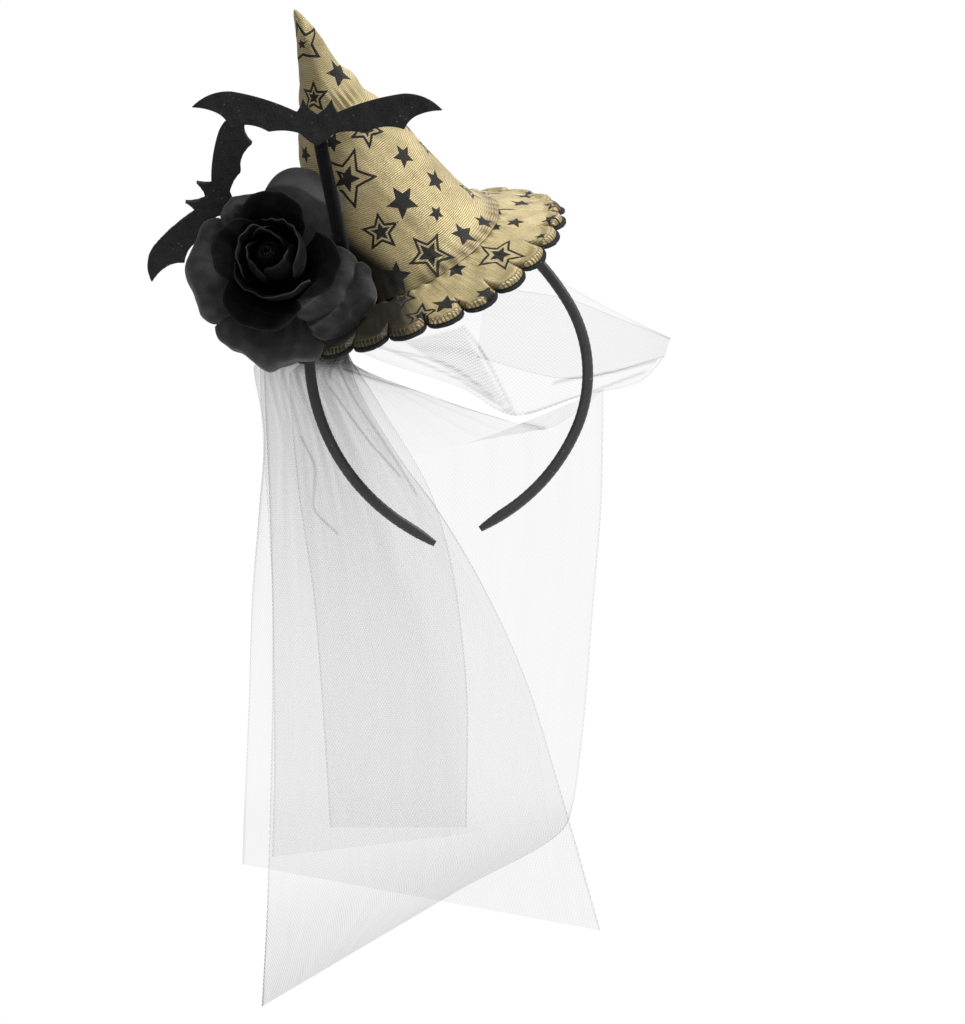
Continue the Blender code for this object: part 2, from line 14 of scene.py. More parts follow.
import bpy
import numpy as np
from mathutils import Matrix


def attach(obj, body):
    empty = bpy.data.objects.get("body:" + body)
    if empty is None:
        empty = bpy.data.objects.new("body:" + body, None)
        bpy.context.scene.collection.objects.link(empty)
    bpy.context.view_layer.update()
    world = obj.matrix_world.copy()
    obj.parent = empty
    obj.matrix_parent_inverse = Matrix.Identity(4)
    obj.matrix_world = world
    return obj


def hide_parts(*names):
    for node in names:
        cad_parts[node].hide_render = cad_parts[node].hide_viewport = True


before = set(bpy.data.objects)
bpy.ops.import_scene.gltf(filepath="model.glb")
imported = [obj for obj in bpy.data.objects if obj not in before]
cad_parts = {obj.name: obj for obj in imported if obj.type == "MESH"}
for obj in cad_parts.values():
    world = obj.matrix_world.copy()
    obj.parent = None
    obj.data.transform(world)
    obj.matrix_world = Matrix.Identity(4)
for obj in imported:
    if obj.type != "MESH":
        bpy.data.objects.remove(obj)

LOG = logging.getLogger("witch_hat_headband")
MM = 0.001
FAR = 1e9
BODY = "root"
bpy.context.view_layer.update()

Place = Callable[[np.ndarray, np.ndarray], np.ndarray]
Socket = bpy.types.NodeSocket


# Numbers and curves

def smooth(value: np.ndarray | float) -> np.ndarray:
    """A smooth step from 0 to 1 as the value goes from 0 to 1."""
    held = np.clip(value, 0.0, 1.0)
    return held * held * (3.0 - 2.0 * held)


def flow(at: np.ndarray, knots: Sequence[float], values: Sequence) -> np.ndarray:
    """A smooth curve through values, which never swings past them.

    Args:
        at: where the curve is read.
        knots: where it passes through each value, in rising order.
        values: a number or a row of numbers for each knot.

    Returns:
        The curve's value at each place.
    """
    line, rows = np.asarray(knots, float), np.asarray(values, float)
    steep = np.diff(rows, axis=0) / np.diff(line).reshape(-1, *[1] * (rows.ndim - 1))
    before, after = steep[:-1], steep[1:]
    total = np.where(before + after == 0, 1, before + after)
    level = np.where(before * after > 0, 2 * before * after / total, 0.0)
    slopes = np.concatenate([steep[:1], level, steep[-1:]])
    k = np.clip(np.searchsorted(line, at, side="right") - 1, 0, len(line) - 2)
    step = line[k + 1] - line[k]
    u = np.clip((at - line[k]) / step, 0.0, 1.0)
    if rows.ndim == 2:
        step, u = step[..., None], u[..., None]
    return (rows[k] * (2 * u ** 3 - 3 * u ** 2 + 1) + slopes[k] * step * (u ** 3 - 2 * u ** 2 + u)
            + rows[k + 1] * (3 * u ** 2 - 2 * u ** 3) + slopes[k + 1] * step * (u ** 3 - u ** 2))


def ripples(points: np.ndarray, size: float, seed: int, waves: int = 7) -> np.ndarray:
    """Seeded smooth unevenness.

    Args:
        points: rows of coordinates.
        size: length of a typical wave.
        seed: which unevenness.
        waves: how many waves are added up.

    Returns:
        A number for each row, mostly between -1 and 1.
    """
    random = np.random.default_rng(seed)
    total = np.zeros(len(points))
    for _ in range(waves):
        way = random.normal(size=points.shape[1])
        way *= random.uniform(0.6, 1.5) * 2 * np.pi / (size * np.linalg.norm(way))
        total += np.sin(points @ way + random.uniform(0, 2 * np.pi))
    return total / math.sqrt(waves)


def turned(degrees: np.ndarray | float) -> tuple[np.ndarray, np.ndarray]:
    """Cosine and sine of an angle in degrees."""
    angle = np.radians(degrees)
    return np.cos(angle), np.sin(angle)


def unit(rows: np.ndarray) -> np.ndarray:
    """Rows scaled to length 1."""
    return rows / np.maximum(np.linalg.norm(rows, axis=-1, keepdims=True), 1e-9)


def spot(seen: np.ndarray, across: float, up: float, size: float) -> np.ndarray:
    """A soft round spot on flat points: 1 at its middle, and size is the square of its reach."""
    return np.exp(-((seen[:, 0] - across) ** 2 + (seen[:, 1] - up) ** 2) / size)


def near_line(points: np.ndarray, line: Sequence[tuple[float, float]]) -> np.ndarray:
    """Distance of each flat point from a line of straight stretches.

    Args:
        points: rows of two coordinates.
        line: the line's corners.

    Returns:
        A distance for each point.
    """
    best = np.full(len(points), FAR)
    for start, end in zip(np.array(line[:-1]), np.array(line[1:])):
        run = end - start
        share = np.clip((points - start) @ run / (run @ run), 0.0, 1.0)
        best = np.minimum(best, np.linalg.norm(points - start - share[:, None] * run, axis=1))
    return best


def inside(points: np.ndarray, corners: Sequence[tuple[float, float]], edge: float = 1.2) -> np.ndarray:
    """How far flat points are inside a patch.

    Args:
        points: rows of two coordinates.
        corners: the patch's corners, clockwise.
        edge: width of its soft edge.

    Returns:
        A share for each point, 0 outside and 1 well inside.
    """
    deep = np.full(len(points), FAR)
    for start, end in zip(np.array(corners), np.roll(np.array(corners), -1, axis=0)):
        run = (end - start) / np.linalg.norm(end - start)
        away = points - start
        deep = np.minimum(deep, away[:, 1] * -run[0] + away[:, 0] * run[1])
    return smooth(deep / edge)


# Modelling

def deselect() -> None:
    """Leaves nothing selected."""
    bpy.ops.object.select_all(action="DESELECT")


def take(piece: bpy.types.Object) -> None:
    """Selects one piece alone and makes it active.

    Args:
        piece: the piece.
    """
    deselect()
    piece.select_set(True)
    bpy.context.view_layer.objects.active = piece


@contextmanager
def editing(piece: bpy.types.Object) -> Iterator[None]:
    """Edit mode on one piece, with all of its points selected.

    Args:
        piece: the piece.

    Yields:
        Nothing, while edit mode lasts.
    """
    take(piece)
    bpy.ops.object.mode_set(mode="EDIT")
    bpy.ops.mesh.select_mode(type="VERT")
    bpy.ops.mesh.select_all(action="SELECT")
    try:
        yield
    finally:
        bpy.ops.object.mode_set(mode="OBJECT")


def modify(piece: bpy.types.Object, kind: str, **settings: object) -> None:
    """Adds a modifier to a piece and applies it.

    Args:
        piece: the piece.
        kind: the modifier's type.
        settings: the modifier's own properties.
    """
    take(piece)
    added = piece.modifiers.new(kind.title(), kind)
    for name, value in settings.items():
        setattr(added, name, value)
    bpy.ops.object.modifier_apply(modifier=added.name)


def points_of(piece: bpy.types.Object) -> np.ndarray:
    """Reads where a piece's points are.

    Args:
        piece: the piece.

    Returns:
        A row in millimetres for each point.
    """
    flat = np.empty(len(piece.data.vertices) * 3)
    piece.data.vertices.foreach_get("co", flat)
    return flat.reshape(-1, 3) / MM


def put_points(piece: bpy.types.Object, points: np.ndarray) -> None:
    """Moves a piece's points to rows in millimetres."""
    piece.data.vertices.foreach_set("co", (points * MM).ravel())
    piece.data.update()


def corners_of(piece: bpy.types.Object) -> np.ndarray:
    """Reads which point stands at each corner of a piece's faces.

    Args:
        piece: the piece.

    Returns:
        The points' numbers, face after face.
    """
    corners = np.empty(len(piece.data.loops), int)
    piece.data.loops.foreach_get("vertex_index", corners)
    return corners


def lay_grid(name: str, columns: int, rows: int, place: Place) -> tuple[bpy.types.Object, np.ndarray]:
    """A sheet of small faces, each point of which is put in its place.

    Args:
        name: the piece's name.
        columns: faces from side to side.
        rows: faces from end to end.
        place: gives points in millimetres for shares across and along the sheet.

    Returns:
        The piece, and the two shares of each of its points.
    """
    deselect()
    bpy.ops.mesh.primitive_grid_add(x_subdivisions=columns, y_subdivisions=rows, size=1.0, calc_uvs=True)
    piece = bpy.context.object
    piece.name = piece.data.name = name
    flat = np.empty(len(piece.data.vertices) * 3)
    piece.data.vertices.foreach_get("co", flat)
    shares = np.clip(flat.reshape(-1, 3)[:, :2] + 0.5, 0.0, 1.0)
    put_points(piece, place(shares[:, 0], shares[:, 1]))
    return piece, shares


def lay_uv(piece: bpy.types.Object, cloth: np.ndarray, name: str = "cloth") -> None:
    """Gives a piece a UV map, whose unit is a millimetre where it is the cloth's own.

    Args:
        piece: the piece.
        cloth: a row of two coordinates for each point.
        name: the map's name.
    """
    maps = piece.data.uv_layers
    layer = maps.get(name) or (maps[0] if name == "cloth" and maps else maps.new(name=name))
    layer.name = name
    layer.data.foreach_set("uv", cloth[corners_of(piece)].astype(np.float32).ravel())


def mark(piece: bpy.types.Object, name: str, values: np.ndarray) -> None:
    """Keeps one number for each point of a piece, for its material to read."""
    made = piece.data.attributes.new(name, "FLOAT", "POINT")
    made.data.foreach_set("value", np.asarray(values, np.float32))


def close_seams(piece: bpy.types.Object, within: float = 0.02) -> None:
    """Joins points that lie together and turns all faces outwards.

    Args:
        piece: the piece.
        within: how near to each other such points lie, in millimetres.
    """
    with editing(piece):
        bpy.ops.mesh.remove_doubles(threshold=within * MM)
        bpy.ops.mesh.normals_make_consistent(inside=False)


def tube(line: np.ndarray, radius: np.ndarray, across: np.ndarray) -> Place:
    """How a sheet is wound into a round tube.

    Args:
        line: evenly spaced points of its middle.
        radius: its radius at each of them.
        across: a direction that its middle never runs along.

    Returns:
        A function that places the sheet's points.
    """
    ahead = unit(np.gradient(line, axis=0))
    side = unit(np.cross(ahead, across))
    other = np.cross(ahead, side)
    at = np.linspace(0, 1, len(line))

    def read(rows: np.ndarray, v: np.ndarray) -> np.ndarray:
        """Rows read at shares of the tube's length."""
        return np.stack([np.interp(v, at, rows[:, axis]) for axis in range(3)], axis=1)

    def place(u: np.ndarray, v: np.ndarray) -> np.ndarray:
        """Points of the tube.

        Args:
            u: shares of the way round it.
            v: shares of its length.

        Returns:
            A row in millimetres for each pair of shares.
        """
        cos, sin = turned(360 * u)
        size = np.interp(v, at, radius)
        return (read(line, v) + read(side, v) * (cos * size)[:, None]
                + read(other, v) * (sin * size)[:, None])

    return place


class Slot(Enum):
    """The record's material slots."""

    SATIN = "band_satin"
    GOLD = "gold_cloth"
    FELT = "black_felt"
    SILK = "rose_silk"
    FLOCK = "black_flock"
    CHENILLE = "black_chenille"
    NET = "black_net"


def hand_over(piece: bpy.types.Object, node: str, slot: Slot, finish: bpy.types.Material) -> None:
    """Dresses a finished piece and lets it stand for its CAD node.

    Args:
        piece: the finished piece.
        node: the CAD node that it replaces.
        slot: the record's slot for its finish; not used.
        finish: its material.
    """
    piece.data.materials.clear()
    piece.data.materials.append(finish)
    take(piece)
    bpy.ops.object.shade_smooth()
    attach(piece, BODY)
    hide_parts(node)
    LOG.info("%s: %d faces for %s", piece.name, len(piece.data.polygons), node)


# Finishes

@dataclass
class Wiring:
    """Adds nodes to one tree and joins them."""

    tree: bpy.types.NodeTree

    def feed(self, node: bpy.types.Node, inputs: dict) -> bpy.types.Node:
        """Joins or sets a node's inputs.

        Args:
            node: the node.
            inputs: a value or a socket for each named or numbered input.

        Returns:
            The node.
        """
        for name, value in inputs.items():
            if isinstance(value, Socket):
                self.tree.links.new(value, node.inputs[name])
            else:
                node.inputs[name].default_value = value
        return node

    def add(self, kind: str, inputs: dict | None = None, **settings: object) -> bpy.types.Node:
        """Adds a node.

        Args:
            kind: the node's type.
            inputs: a value or a socket for each named or numbered input.
            settings: the node's own properties.

        Returns:
            The node.
        """
        node = self.tree.nodes.new(kind)
        for name, value in settings.items():
            setattr(node, name, value)
        return self.feed(node, inputs or {})

    def group(self, shared: bpy.types.NodeTree, inputs: dict) -> bpy.types.NodeOutputs:
        """Places a shared effect with its own values and gives its outputs."""
        return self.feed(self.add("ShaderNodeGroup", node_tree=shared), inputs).outputs

    def calc(self, operation: str, *values: object, clamp: bool = False) -> Socket:
        """The result of a Math node."""
        node = self.add("ShaderNodeMath", dict(enumerate(values)), operation=operation, use_clamp=clamp)
        return node.outputs[0]

    def hold(self, value: Socket, factor: float = 1.0) -> Socket:
        """A value times a factor, held between 0 and 1."""
        return self.calc("MULTIPLY", value, factor, clamp=True)

    def wave(self, value: Socket, turn: float = 2 * math.pi) -> Socket:
        """The sine of a value, a whole wave to each 1 unless turn says otherwise."""
        return self.calc("SINE", self.calc("MULTIPLY", value, turn))

    def ease(self, value: Socket, low: float, high: float, to: tuple[float, float] = (0.0, 1.0)) -> Socket:
        """A value eased from one range to another."""
        inputs = {"Value": value, "From Min": low, "From Max": high, "To Min": to[0], "To Max": to[1]}
        return self.add("ShaderNodeMapRange", inputs, interpolation_type="SMOOTHSTEP").outputs[0]

    def fade(self, value: Socket, low: float, high: float) -> Socket:
        """1 where a value is below a range, eased to 0 above it."""
        return self.ease(value, low, high, (1.0, 0.0))

    def tint(self, share: object, low: object, high: object) -> Socket:
        """One colour mixed into another."""
        return self.add("ShaderNodeMix", {0: share, 6: low, 7: high}, data_type="RGBA").outputs[2]

    def noise(self, at: Socket, scale: float | Socket, detail: float = 2.0, rough: float = 0.5) -> Socket:
        """Cloudy noise, 0 to 1."""
        inputs = {"Vector": at, "Scale": scale, "Detail": detail, "Roughness": rough}
        return self.add("ShaderNodeTexNoise", inputs).outputs[0]

    def space(self) -> Socket:
        """Places in the object's own space, in metres."""
        return self.add("ShaderNodeTexCoord").outputs["Object"]

    def cloth(self, name: str = "cloth") -> Socket:
        """Places on one of the piece's own maps."""
        return self.add("ShaderNodeUVMap", uv_map=name).outputs[0]

    def stretched(self, at: Socket, scale: tuple[float, float, float]) -> Socket:
        """Places scaled differently along each axis."""
        return self.add("ShaderNodeMapping", {"Vector": at, "Scale": scale}).outputs[0]

    def axes(self, at: Socket) -> bpy.types.NodeOutputs:
        """The three parts of a place."""
        return self.add("ShaderNodeSeparateXYZ", {0: at}).outputs

    def attribute(self, name: str) -> Socket:
        """The number that each point of the piece keeps under a name."""
        return self.add("ShaderNodeAttribute", attribute_name=name).outputs["Fac"]

    def bump(self, height: Socket, distance: float, strength: float = 1.0,
             under: Socket | None = None) -> Socket:
        """A normal that follows a height.

        Args:
            height: the height, as a share of the distance.
            distance: how far a height of 1 stands out, in millimetres.
            strength: how much of it shows.
            under: the normal that it is laid over.

        Returns:
            The normal.
        """
        inputs = {"Height": height, "Distance": distance * MM, "Strength": strength}
        if under is not None:
            inputs["Normal"] = under
        return self.add("ShaderNodeBump", inputs).outputs[0]


def start_group(name: str, inputs: dict[str, float | None],
                outputs: Sequence[str]) -> tuple[Wiring, bpy.types.Node, bpy.types.Node]:
    """Starts a shared effect.

    Args:
        name: the group's name.
        inputs: each input's name with its default, a number or None for a vector.
        outputs: the names of its outputs, all numbers.

    Returns:
        The wiring, the group's input node and its output node.
    """
    tree = bpy.data.node_groups.new(name, "ShaderNodeTree")
    for title, value in inputs.items():
        kind = "NodeSocketVector" if value is None else "NodeSocketFloat"
        made = tree.interface.new_socket(title, in_out="INPUT", socket_type=kind)
        if value is not None:
            made.default_value = value
    for title in outputs:
        tree.interface.new_socket(title, in_out="OUTPUT", socket_type="NodeSocketFloat")
    return Wiring(tree), tree.nodes.new("NodeGroupInput"), tree.nodes.new("NodeGroupOutput")


def threads_group() -> bpy.types.NodeTree:
    """Woven threads on a cloth map: ribs across it, cut by finer threads along it.

    Returns:
        The node group.
    """
    inputs = {"Cloth": None, "Pitch": 1.0, "Cross pitch": 0.5, "Waver": 0.1}
    w, enter, leave = start_group("threads", inputs, ("Height", "Shade"))
    rib_height, cross_height, height_noise, shade_noise = 0.33, 0.12, 0.5, 0.9
    cloth = enter.outputs["Cloth"]
    across, along, _ = w.axes(cloth)
    sway = w.calc("MULTIPLY", w.calc("SUBTRACT", w.noise(cloth, 0.12), 0.5), enter.outputs["Waver"])
    rib = w.wave(w.calc("DIVIDE", w.calc("ADD", along, sway), enter.outputs["Pitch"]))
    cross = w.wave(w.calc("DIVIDE", w.calc("ADD", across, sway), enter.outputs["Cross pitch"]))
    height = w.calc("MULTIPLY_ADD", cross, cross_height, w.calc("MULTIPLY_ADD", rib, rib_height, 0.5))
    uneven = w.calc("SUBTRACT", w.noise(cloth, 0.9, 3.0, 0.7), 0.5)
    w.feed(leave, {"Height": w.calc("MULTIPLY_ADD", uneven, height_noise, height),
                   "Shade": w.calc("MULTIPLY_ADD", uneven, shade_noise, height)})
    return w.tree


def grain_group() -> bpy.types.NodeTree:
    """Fine uneven fibres in space, and large soft clouds of wear.

    Returns:
        The node group.
    """
    inputs = {"Place": None, "Fine": 2500.0, "Clouds": 60.0}
    w, enter, leave = start_group("grain", inputs, ("Fibres", "Wear"))
    fibres = w.noise(enter.outputs["Place"], enter.outputs["Fine"], 3.0, 0.65)
    clouds = w.noise(enter.outputs["Place"], enter.outputs["Clouds"])
    w.feed(leave, {"Fibres": fibres, "Wear": w.ease(clouds, 0.3, 0.7)})
    return w.tree


def lint_group() -> bpy.types.NodeTree:
    """Sparse pale specks of lint.

    Returns:
        The node group.
    """
    w, enter, leave = start_group("lint", {"Place": None, "Scale": 900.0, "Share": 0.1}, ("Mask",))
    cells = w.add("ShaderNodeTexVoronoi", {"Vector": enter.outputs["Place"], "Scale": enter.outputs["Scale"]})
    chosen = w.add("ShaderNodeSeparateColor", {0: cells.outputs["Color"]}).outputs[0]
    rare = w.calc("LESS_THAN", chosen, enter.outputs["Share"])
    speck = w.fade(cells.outputs["Distance"], 0.15, 0.4)
    w.feed(leave, {"Mask": w.calc("MULTIPLY", rare, speck)})
    return w.tree


def star_group() -> bpy.types.NodeTree:
    """Distance from the edge of a five-pointed star of radius 1, below 0 inside.

    The plane is folded over the star's axes until one tip is left, and the distance is taken
    from the straight edge between that tip and the notch beside it.

    Returns:
        The node group.
    """
    w, enter, leave = start_group("five_pointed_star", {"Place": None, "Notch": 0.44}, ("Distance",))
    c, s = math.cos(math.radians(36)), math.sin(math.radians(36))
    notch = enter.outputs["Notch"]
    x, y, _ = w.axes(enter.outputs["Place"])
    x = w.calc("ABSOLUTE", x)
    for side in (1, -1):
        dot = w.calc("SUBTRACT", w.calc("MULTIPLY", x, side * c), w.calc("MULTIPLY", y, s))
        fold = w.calc("MAXIMUM", w.calc("MULTIPLY", dot, 2.0), 0.0)
        x = w.calc("MULTIPLY_ADD", fold, -side * c, x)
        y = w.calc("MULTIPLY_ADD", fold, s, y)
    x, y = w.calc("ABSOLUTE", x), w.calc("SUBTRACT", y, 1.0)
    run_x, run_y = w.calc("MULTIPLY", notch, s), w.calc("SUBTRACT", w.calc("MULTIPLY", notch, c), 1.0)
    reach = w.calc("MULTIPLY_ADD", run_x, run_x, w.calc("MULTIPLY", run_y, run_y))
    along = w.calc("MULTIPLY_ADD", x, run_x, w.calc("MULTIPLY", y, run_y))
    share = w.calc("DIVIDE", along, reach, clamp=True)
    gap_x = w.calc("SUBTRACT", x, w.calc("MULTIPLY", run_x, share))
    gap_y = w.calc("SUBTRACT", y, w.calc("MULTIPLY", run_y, share))
    gap = w.calc("SQRT", w.calc("MULTIPLY_ADD", gap_x, gap_x, w.calc("MULTIPLY", gap_y, gap_y)))
    side_of = w.calc("SIGN", w.calc("SUBTRACT", w.calc("MULTIPLY", y, run_x), w.calc("MULTIPLY", x, run_y)))
    w.feed(leave, {"Distance": w.calc("MULTIPLY", gap, side_of)})
    return w.tree


@dataclass(frozen=True)
class SharedEffects:
    """The node groups that several finishes use."""

    threads: bpy.types.NodeTree
    grain: bpy.types.NodeTree
    lint: bpy.types.NodeTree
    star: bpy.types.NodeTree


def new_finish(name: str, **values: object) -> tuple[Wiring, bpy.types.Node, bpy.types.Material]:
    """Starts a material.

    Args:
        name: the material's name.
        values: constants for the shader's own sockets, named with underscores for spaces.

    Returns:
        The wiring, the shader node and the material.
    """
    made = bpy.data.materials.new(name)
    made.use_nodes = True
    shader = made.node_tree.nodes["Principled BSDF"]
    for title, value in values.items():
        shader.inputs[title.replace("_", " ")].default_value = value
    return Wiring(made.node_tree), shader, made


def grey(level: float) -> tuple[float, float, float, float]:
    """A neutral colour."""
    return (level, level, level, 1.0)


@dataclass(frozen=True)
class GoldCloth:
    """Shiny gold cloth: fine ribs, a print of black stars and a stitched hem.

    The colours are the ribs' tops and bottoms, the print, the painted shade in creases and gathers
    which is also the stitches' thread colour, and the painted shadow in the rose's nook. The lengths
    are millimetres of cloth, and blur and notch shape the print.
    """

    pale: tuple = (0.64, 0.525, 0.275, 1.0)
    deep: tuple = (0.25, 0.20, 0.095, 1.0)
    ink: tuple = (0.007, 0.0065, 0.006, 1.0)
    painted_crease_shade_and_thread: tuple = (0.12, 0.085, 0.035, 1.0)
    painted_shadow: tuple = (0.007, 0.006, 0.004, 1.0)
    rib_pitch: float = 0.95
    cross_pitch: float = 0.55
    rib_height: float = 0.22
    outline: float = 0.62
    blur: float = 0.1
    notch: float = 0.46
    hem: float = 2.9
    hem_blur: float = 0.9
    stitch_height: float = 0.5
    metal: float = 0.25

    def print_mask(self, w: Wiring, effects: SharedEffects) -> Socket:
        """Where the print is: a solid star, or an outline with a small solid star inside.

        Args:
            w: the material's wiring.
            effects: the shared node groups.

        Returns:
            The print's mask.
        """
        place = w.cloth("star")
        radius, inner, _ = w.axes(w.cloth("star_kind"))
        nested = w.calc("GREATER_THAN", inner, 0.01)
        share = w.calc("MAXIMUM", inner, w.calc("SUBTRACT", 1.0, nested))
        grown = w.add("ShaderNodeVectorMath", {0: place, 3: w.calc("DIVIDE", 1.0, share)}, operation="SCALE")
        outer = w.group(effects.star, {"Place": place, "Notch": self.notch})[0]
        within = w.group(effects.star, {"Place": grown.outputs[0], "Notch": self.notch})[0]
        solid = w.calc("MULTIPLY", w.calc("MULTIPLY", within, share), radius)
        edge = w.calc("MULTIPLY_ADD", outer, radius, self.outline)
        line = w.fade(w.calc("ABSOLUTE", edge), self.outline - self.blur, self.outline + self.blur)
        return w.calc("MAXIMUM", w.fade(solid, -self.blur, self.blur), w.calc("MULTIPLY", line, nested))

    def blanket_stitch(self, w: Wiring) -> tuple[Socket, Socket]:
        """The stitch along the hem.

        Args:
            w: the material's wiring.

        Returns:
            The masks of its threads over the edge and of the line that joins them.
        """
        along, inwards, _ = w.axes(w.cloth("stitch"))
        over = w.ease(w.wave(along), 0.25, 0.85)
        threads = w.calc("MULTIPLY", over, w.fade(inwards, self.hem - self.hem_blur, self.hem))
        off_line = w.calc("ABSOLUTE", w.calc("SUBTRACT", inwards, self.hem))
        return threads, w.ease(off_line, 0.2, 0.6, (0.55, 0.0))

    def build(self, effects: SharedEffects) -> bpy.types.Material:
        """Makes the material.

        Args:
            effects: the shared node groups.

        Returns:
            The material.
        """
        w, shader, made = new_finish("gold_star_cloth", Metallic=0.0, Specular_IOR_Level=0.35,
                                     Sheen_Weight=0.03, Sheen_Roughness=0.4)
        weave = w.group(effects.threads, {"Cloth": w.cloth(), "Pitch": self.rib_pitch,
                                          "Cross pitch": self.cross_pitch, "Waver": 1.2})
        grain = w.group(effects.grain, {"Place": w.space(), "Fine": 1800.0, "Clouds": 70.0})
        woven = w.calc("MULTIPLY_ADD", weave["Shade"], 1.25, -0.24)
        gold = w.tint(w.hold(w.calc("MULTIPLY_ADD", grain["Wear"], 0.22, woven)), self.deep, self.pale)
        # Painted shade in the gathers at the crown's foot, in the valleys between scallops and under the
        # rolled edge.
        gold = w.tint(w.attribute("crease"), gold, self.painted_crease_shade_and_thread)
        # Painted shadow in the nook beside and under the rose.
        gold = w.tint(w.calc("MULTIPLY", w.attribute("shade"), 0.97), gold, self.painted_shadow)
        threads, line = self.blanket_stitch(w)
        # The blanket stitch's thread, in the same dark colour as the painted crease shade.
        gold = w.tint(w.calc("MAXIMUM", w.calc("MULTIPLY", threads, 0.8), line), gold, self.painted_crease_shade_and_thread)
        inked = self.print_mask(w, effects)
        rubbed = w.calc("MULTIPLY", inked, w.ease(grain["Fibres"], 0.25, 0.45, (0.8, 1.0)))
        rough = w.calc("MULTIPLY_ADD", grain["Fibres"], 0.2, 0.36)
        stitched = w.bump(threads, self.stitch_height, under=w.bump(weave["Height"], self.rib_height))
        w.feed(shader, {"Base Color": w.tint(rubbed, gold, self.ink),
                        "Roughness": w.calc("MULTIPLY_ADD", inked, 0.2, rough),
                        "Metallic": w.calc("MULTIPLY", w.calc("SUBTRACT", 1.0, inked), self.metal),
                        "Normal": w.bump(grain["Fibres"], 0.05, 0.8, stitched)})
        return made


@dataclass(frozen=True)
class Felt:
    """Pressed black felt with loose fibres and a little lint, each with its lightness."""

    base: float = 0.014
    raised: float = 0.034
    lint: float = 0.30

    def build(self, name: str, effects: SharedEffects, fine: float = 2600.0,
              lint_share: float = 0.05) -> bpy.types.Material:
        """Makes the material.

        Args:
            name: the material's name.
            effects: the shared node groups.
            fine: how fine its fibres are.
            lint_share: how much lint there is.

        Returns:
            The material.
        """
        w, shader, made = new_finish(name, Roughness=0.95, Specular_IOR_Level=0.1, Sheen_Weight=0.05,
                                     Sheen_Roughness=0.6)
        space = w.space()
        grain = w.group(effects.grain, {"Place": space, "Fine": fine, "Clouds": 120.0})
        lint = w.group(effects.lint, {"Place": space, "Scale": 700.0, "Share": lint_share})
        dust = (self.lint, self.lint * 0.97, self.lint * 0.9, 1.0)
        share = w.calc("MULTIPLY_ADD", grain["Wear"], 0.3, w.ease(grain["Fibres"], 0.35, 0.7))
        colour = w.tint(w.hold(share, 0.8), grey(self.base), grey(self.raised))
        w.feed(shader, {"Base Color": w.tint(w.calc("MULTIPLY", lint["Mask"], 0.55), colour, dust),
                        "Normal": w.bump(grain["Fibres"], 0.5, 0.9)})
        return made


@dataclass(frozen=True)
class Silk:
    """Matt black silk: fine threads, soft creases and a painted highlight on its rim.

    The lightnesses are the threads' bottoms and tops, the rim's painted highlight, the painted
    light on a lit petal with pale random blotches, and the painted shade deep in the rose.
    """

    name: str = "rose_silk"
    base: float = 0.022
    lit: float = 0.066
    rim: float = 0.10
    painted_light_and_pale_blotch: float = 0.10
    painted_hollow_shade: float = 0.002
    sheen: float = 0.18
    gloss: float = 0.1

    def build(self, effects: SharedEffects) -> bpy.types.Material:
        """Makes the material.

        Args:
            effects: the shared node groups.

        Returns:
            The material.
        """
        w, shader, made = new_finish(self.name, Specular_IOR_Level=self.gloss, Sheen_Weight=self.sheen,
                                     Sheen_Roughness=0.45)
        cloth = w.cloth()
        weave = w.group(effects.threads, {"Cloth": cloth, "Pitch": 0.5, "Cross pitch": 0.5, "Waver": 0.6})
        grain = w.group(effects.grain, {"Place": w.space(), "Fine": 1500.0, "Clouds": 90.0})
        share = w.calc("MULTIPLY_ADD", weave["Shade"], 0.6, w.calc("MULTIPLY", grain["Wear"], 0.4))
        colour = w.tint(w.hold(share), grey(self.base), grey(self.lit))
        # Painted shade where the depth mark is high: deep in the rose and on petals that lie in shade.
        colour = w.tint(w.hold(w.attribute("depth"), 0.95), colour, grey(self.painted_hollow_shade))
        # Painted light where the depth mark is below 0: on a lit petal, with pale random blotches.
        colour = w.tint(w.hold(w.attribute("depth"), -1.0), colour, grey(self.painted_light_and_pale_blotch))
        # A painted highlight along the rims.
        colour = w.tint(w.calc("MULTIPLY", w.attribute("rim"), 0.8), colour, grey(self.rim))
        folds = w.bump(w.noise(w.stretched(cloth, (0.22, 0.05, 1.0)), 1.0), 1.4, 0.6)
        grained = w.bump(grain["Fibres"], 0.25, 0.7, folds)
        w.feed(shader, {"Base Color": colour,
                        "Roughness": w.calc("MULTIPLY_ADD", grain["Fibres"], 0.2, 0.7),
                        "Normal": w.bump(weave["Height"], 0.09, 0.9, grained)})
        return made


@dataclass(frozen=True)
class Satin:
    """Black satin wrapped round the hoop, its threads across it, with faint wear and lint."""

    base: float = 0.022
    lit: float = 0.043
    lint: float = 0.3

    def build(self, effects: SharedEffects) -> bpy.types.Material:
        """Makes the material.

        Args:
            effects: the shared node groups.

        Returns:
            The material.
        """
        w, shader, made = new_finish("band_satin", Specular_IOR_Level=0.5, Sheen_Weight=0.2,
                                     Sheen_Roughness=0.4)
        space, cloth = w.space(), w.cloth()
        weave = w.group(effects.threads, {"Cloth": cloth, "Pitch": 0.45, "Cross pitch": 0.9, "Waver": 0.5})
        grain = w.group(effects.grain, {"Place": space, "Fine": 2400.0, "Clouds": 110.0})
        lint = w.group(effects.lint, {"Place": space, "Scale": 600.0, "Share": 0.02})
        share = w.calc("MULTIPLY_ADD", weave["Shade"], 0.7, w.calc("MULTIPLY", grain["Wear"], 0.3))
        colour = w.tint(w.hold(share), grey(self.base), grey(self.lit))
        ribs = w.bump(weave["Height"], 0.05, 0.8)
        w.feed(shader, {"Base Color": w.tint(w.calc("MULTIPLY", lint["Mask"], 0.35), colour, grey(self.lint)),
                        "Roughness": w.calc("MULTIPLY_ADD", grain["Fibres"], 0.2, 0.42),
                        "Normal": w.bump(grain["Wear"], 0.25, 0.5, ribs)})
        return made


